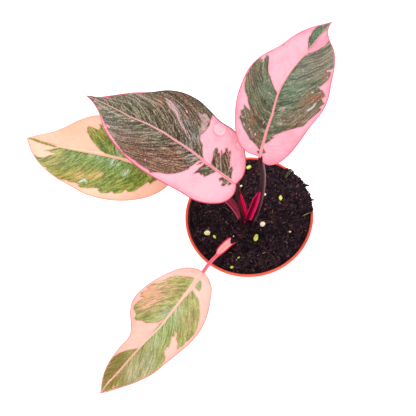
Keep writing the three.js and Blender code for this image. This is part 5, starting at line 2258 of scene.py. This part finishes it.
PETIOLES = (
    Petiole(
        name="upper_left", slot="dark_petiole", facing=-39, foot=Foot.STEM, finish=CRIMSON_STALK,
        blade=UPPER_LEFT, lit=(8.4, 10.6), lips=(5.5,),
        tones=(
            (0, 1), (2, 0.4), (3.4, 0.5), (4.4, 1.1), (5.2, 0.5), (7, 0.6), (9, 0.9), (10, 1.9), (11, 1.5),
        ),
        stations=(
            (-3.6, -5.5, 88.9, 0.7, 0.2), (-4.1, -3.4, 98, 0.78, 0.6), (-4.9, -0.7, 110, 0.86, 0.85),
            (-5.5, 1.1, 126, 0.92, 0.5), (-5.7, 1.4, 142, 0.92, 0.0), (-5.3, 1.1, 156.2, 0.9, 0),
        ),
    ),
    Petiole(
        name="upper_right", slot="dark_petiole", facing=-150, foot=Foot.STEM, finish=MAROON_STALK,
        blade=UPPER_RIGHT, lit=(6.9, 8.0), lips=(5.7,),
        tones=(
            (0, 1.8), (0.7, 1.2), (2, 0.6), (5, 0.9), (7, 1.1), (8.6, 0.8), (9.6, 0.4), (11, 0.5),
            (11.6, 1.2),
        ),
        stations=(
            (-0.8, -10.4, 86.8, 1.0, 0.85), (1.1, -8.2, 88.9, 1.2, 0.95), (4.1, -6.9, 98, 1.28, 0.95),
            (8.0, -5.4, 111, 1.24, 0.9), (11.3, -4.6, 127, 1.16, 0.85), (14.9, -3.4, 145, 1.05, 0.15),
            (17.2, 0.6, 166, 1, 0), (17.2, 7.0, 181.2, 1, 0),
        ),
    ),
    Petiole(
        name="left", slot="dark_petiole", facing=-38, foot=Foot.STEM, finish=PLUM_STALK, blade=LEFT,
        lit=(7.0, 10.4), lips=(4.3, 4.9), tones=((0, 1), (3, 0.8), (5, 1), (12, 1)),
        stations=(
            (-6.8, -8.4, 88.9, 0.6, 0), (-8.7, -5.4, 95, 0.62, 0.25), (-11.5, 1.6, 103, 0.88, 0.75),
            (-19.0, 11.2, 111, 1.05, 0.8), (-41, 24.2, 118.5, 0.9, 0), (-67.2, 40.0, 122.1, 0.95, 0),
        ),
    ),
    Petiole(
        name="front", slot="pink_petiole", facing=40, foot=Foot.SOIL, finish=ROSE_STALK, blade=FRONT,
        edged=0.15, worn=0.7, lips=(5.0, 5.9, 10.1, 11.0),
        tones=(
            (0, 1.9), (1.2, 1.2), (3, 1.1), (4, 1.9), (4.7, 1.1), (6, 1), (7.2, 1.15), (8.1, 1.8), (8.8, 1.3),
            (10, 1), (11.3, 1.2),
        ),
        stations=(
            (-18.0, -20.9, 80.6, 1.0, 1), (-20.4, -23.1, 82.6, 1.0, 1), (-24.5, -26.6, 85.4, 1.0, 1),
            (-29.8, -31.3, 88.2, 0.98, 0.95), (-32.8, -34.1, 89.9, 0.9, 0.8), (-35.0, -36.4, 91.2, 0.76, 0),
            (-42.6, -44.5, 96.4, 0.7, 0), (-48.7, -53.1, 101.9, 0.74, 0),
        ),
    ),
)


# ---------------------------------------------------------------- studio


@dataclass(frozen=True)
class Lamp:
    """A soft square lamp that looks at the plant's middle."""

    name: str
    place: Point3
    size: float
    power: float


@dataclass(frozen=True)
class Studio:
    """The floor, the light and the camera. Lengths are in metres."""

    target: Point3 = (-0.03, 0.0, 0.12)
    floor_size: float = 8.0
    sky: float = 0.75
    lamps: tuple[Lamp, ...] = (
        Lamp("key", (-0.5, 0.9, 1.5), 1.0, 16.0), Lamp("fill", (1.1, -0.9, 1.3), 1.2, 7.0),
    )
    camera_place: Point3 = (0.0, -0.1833, 0.5532)
    camera_right: Point3 = (0.9825, -0.1298, -0.1336)
    camera_up: Point3 = (0.1711, 0.9123, 0.372)
    camera_back: Point3 = (0.0736, -0.3883, 0.9186)
    camera_angle: float = 43.36

    def build_floor(self) -> Object:
        """Lay a plain pale floor that reaches far out."""
        half = self.floor_size / 2
        mesh = bpy.data.meshes.new("floor")
        corners = [(-half, -half, 0), (half, -half, 0), (half, half, 0), (-half, half, 0)]
        mesh.from_pydata(corners, [], [(0, 1, 2, 3)])
        material, graph = new_material(
            "floor_white", Roughness=0.9, Specular_IOR_Level=0.0, Emission_Color=WHITE, Emission_Strength=0.5,
        )
        grain = graph.noise(graph.place(), 30.0, 3.0, 0.6)
        graph.feed(Base_Color=graph.mix(grain, srgb(250, 250, 250), srgb(254, 254, 254)))
        mesh.materials.append(material)
        floor = bpy.data.objects.new("floor", mesh)
        bpy.context.scene.collection.objects.link(floor)
        return floor

    def build_light(self) -> None:
        """Hang the lamps round the plant and whiten the sky."""
        for lamp in self.lamps:
            light = bpy.data.lights.new(lamp.name, "AREA")
            light.shape, light.size, light.energy = "SQUARE", lamp.size, lamp.power
            holder = bpy.data.objects.new(lamp.name, light)
            holder.location = lamp.place
            sight = Vector(self.target) - Vector(lamp.place)
            holder.rotation_euler = sight.to_track_quat("-Z", "Y").to_euler()
            bpy.context.scene.collection.objects.link(holder)
        world = bpy.data.worlds.new("sky")
        world.use_nodes = True
        background = world.node_tree.nodes["Background"]
        background.inputs["Color"].default_value = WHITE
        background.inputs["Strength"].default_value = self.sky
        bpy.context.scene.world = world
        bpy.context.scene.view_settings.view_transform = "Standard"

    def build_camera(self) -> Object:
        """Set up the camera, which looks steeply down on the plant from the front."""
        data = bpy.data.cameras.new("camera")
        data.sensor_fit = "HORIZONTAL"
        data.angle = math.radians(self.camera_angle)
        data.clip_start, data.clip_end = 0.01, 20.0
        camera = bpy.data.objects.new("camera", data)
        turn = Matrix((self.camera_right, self.camera_up, self.camera_back)).transposed()
        camera.matrix_world = Matrix.Translation(self.camera_place) @ turn.to_4x4()
        bpy.context.scene.collection.objects.link(camera)
        bpy.context.scene.camera = camera
        return camera


def report(piece: Object) -> None:
    """Log a piece with its count of faces."""
    LOG.info("%s: %d faces", piece.name, len(piece.data.polygons))


def main() -> None:
    """Build the plant in its pot, then the studio, and log each piece's count of faces."""
    logging.basicConfig(level=logging.INFO, format="%(message)s")
    studio = Studio()
    studio.build_camera()
    pot = Pot()
    report(pot.dress(pot.build()))

    earth = crumb_group()
    soil = Soil(pot)
    report(soil.dress(soil.build_bed(), earth))
    report(soil.dress(soil.build_crumbs(), earth))
    report(soil.dress(soil.build_fibres(), earth, bark=True))
    for number, grain in enumerate(soil.grains):
        report(soil.dress_grain(soil.build_grain(number), grain.tone))

    skin = plant_skin_group()
    stem = Stem()
    report(stem.dress(stem.build(), skin))
    for petiole in PETIOLES:
        report(petiole.dress(petiole.build(), skin))

    tissue = leaf_tissue_group()
    for blade in BLADES:
        report(blade.dress(blade.build(), tissue))
    for blade in (UPPER_RIGHT, UPPER_LEFT, LEFT):
        water = WaterDrops(blade)
        report(water.dress(water.build()))

    studio.build_floor()
    studio.build_light()


if __name__ == "__main__":
    main()
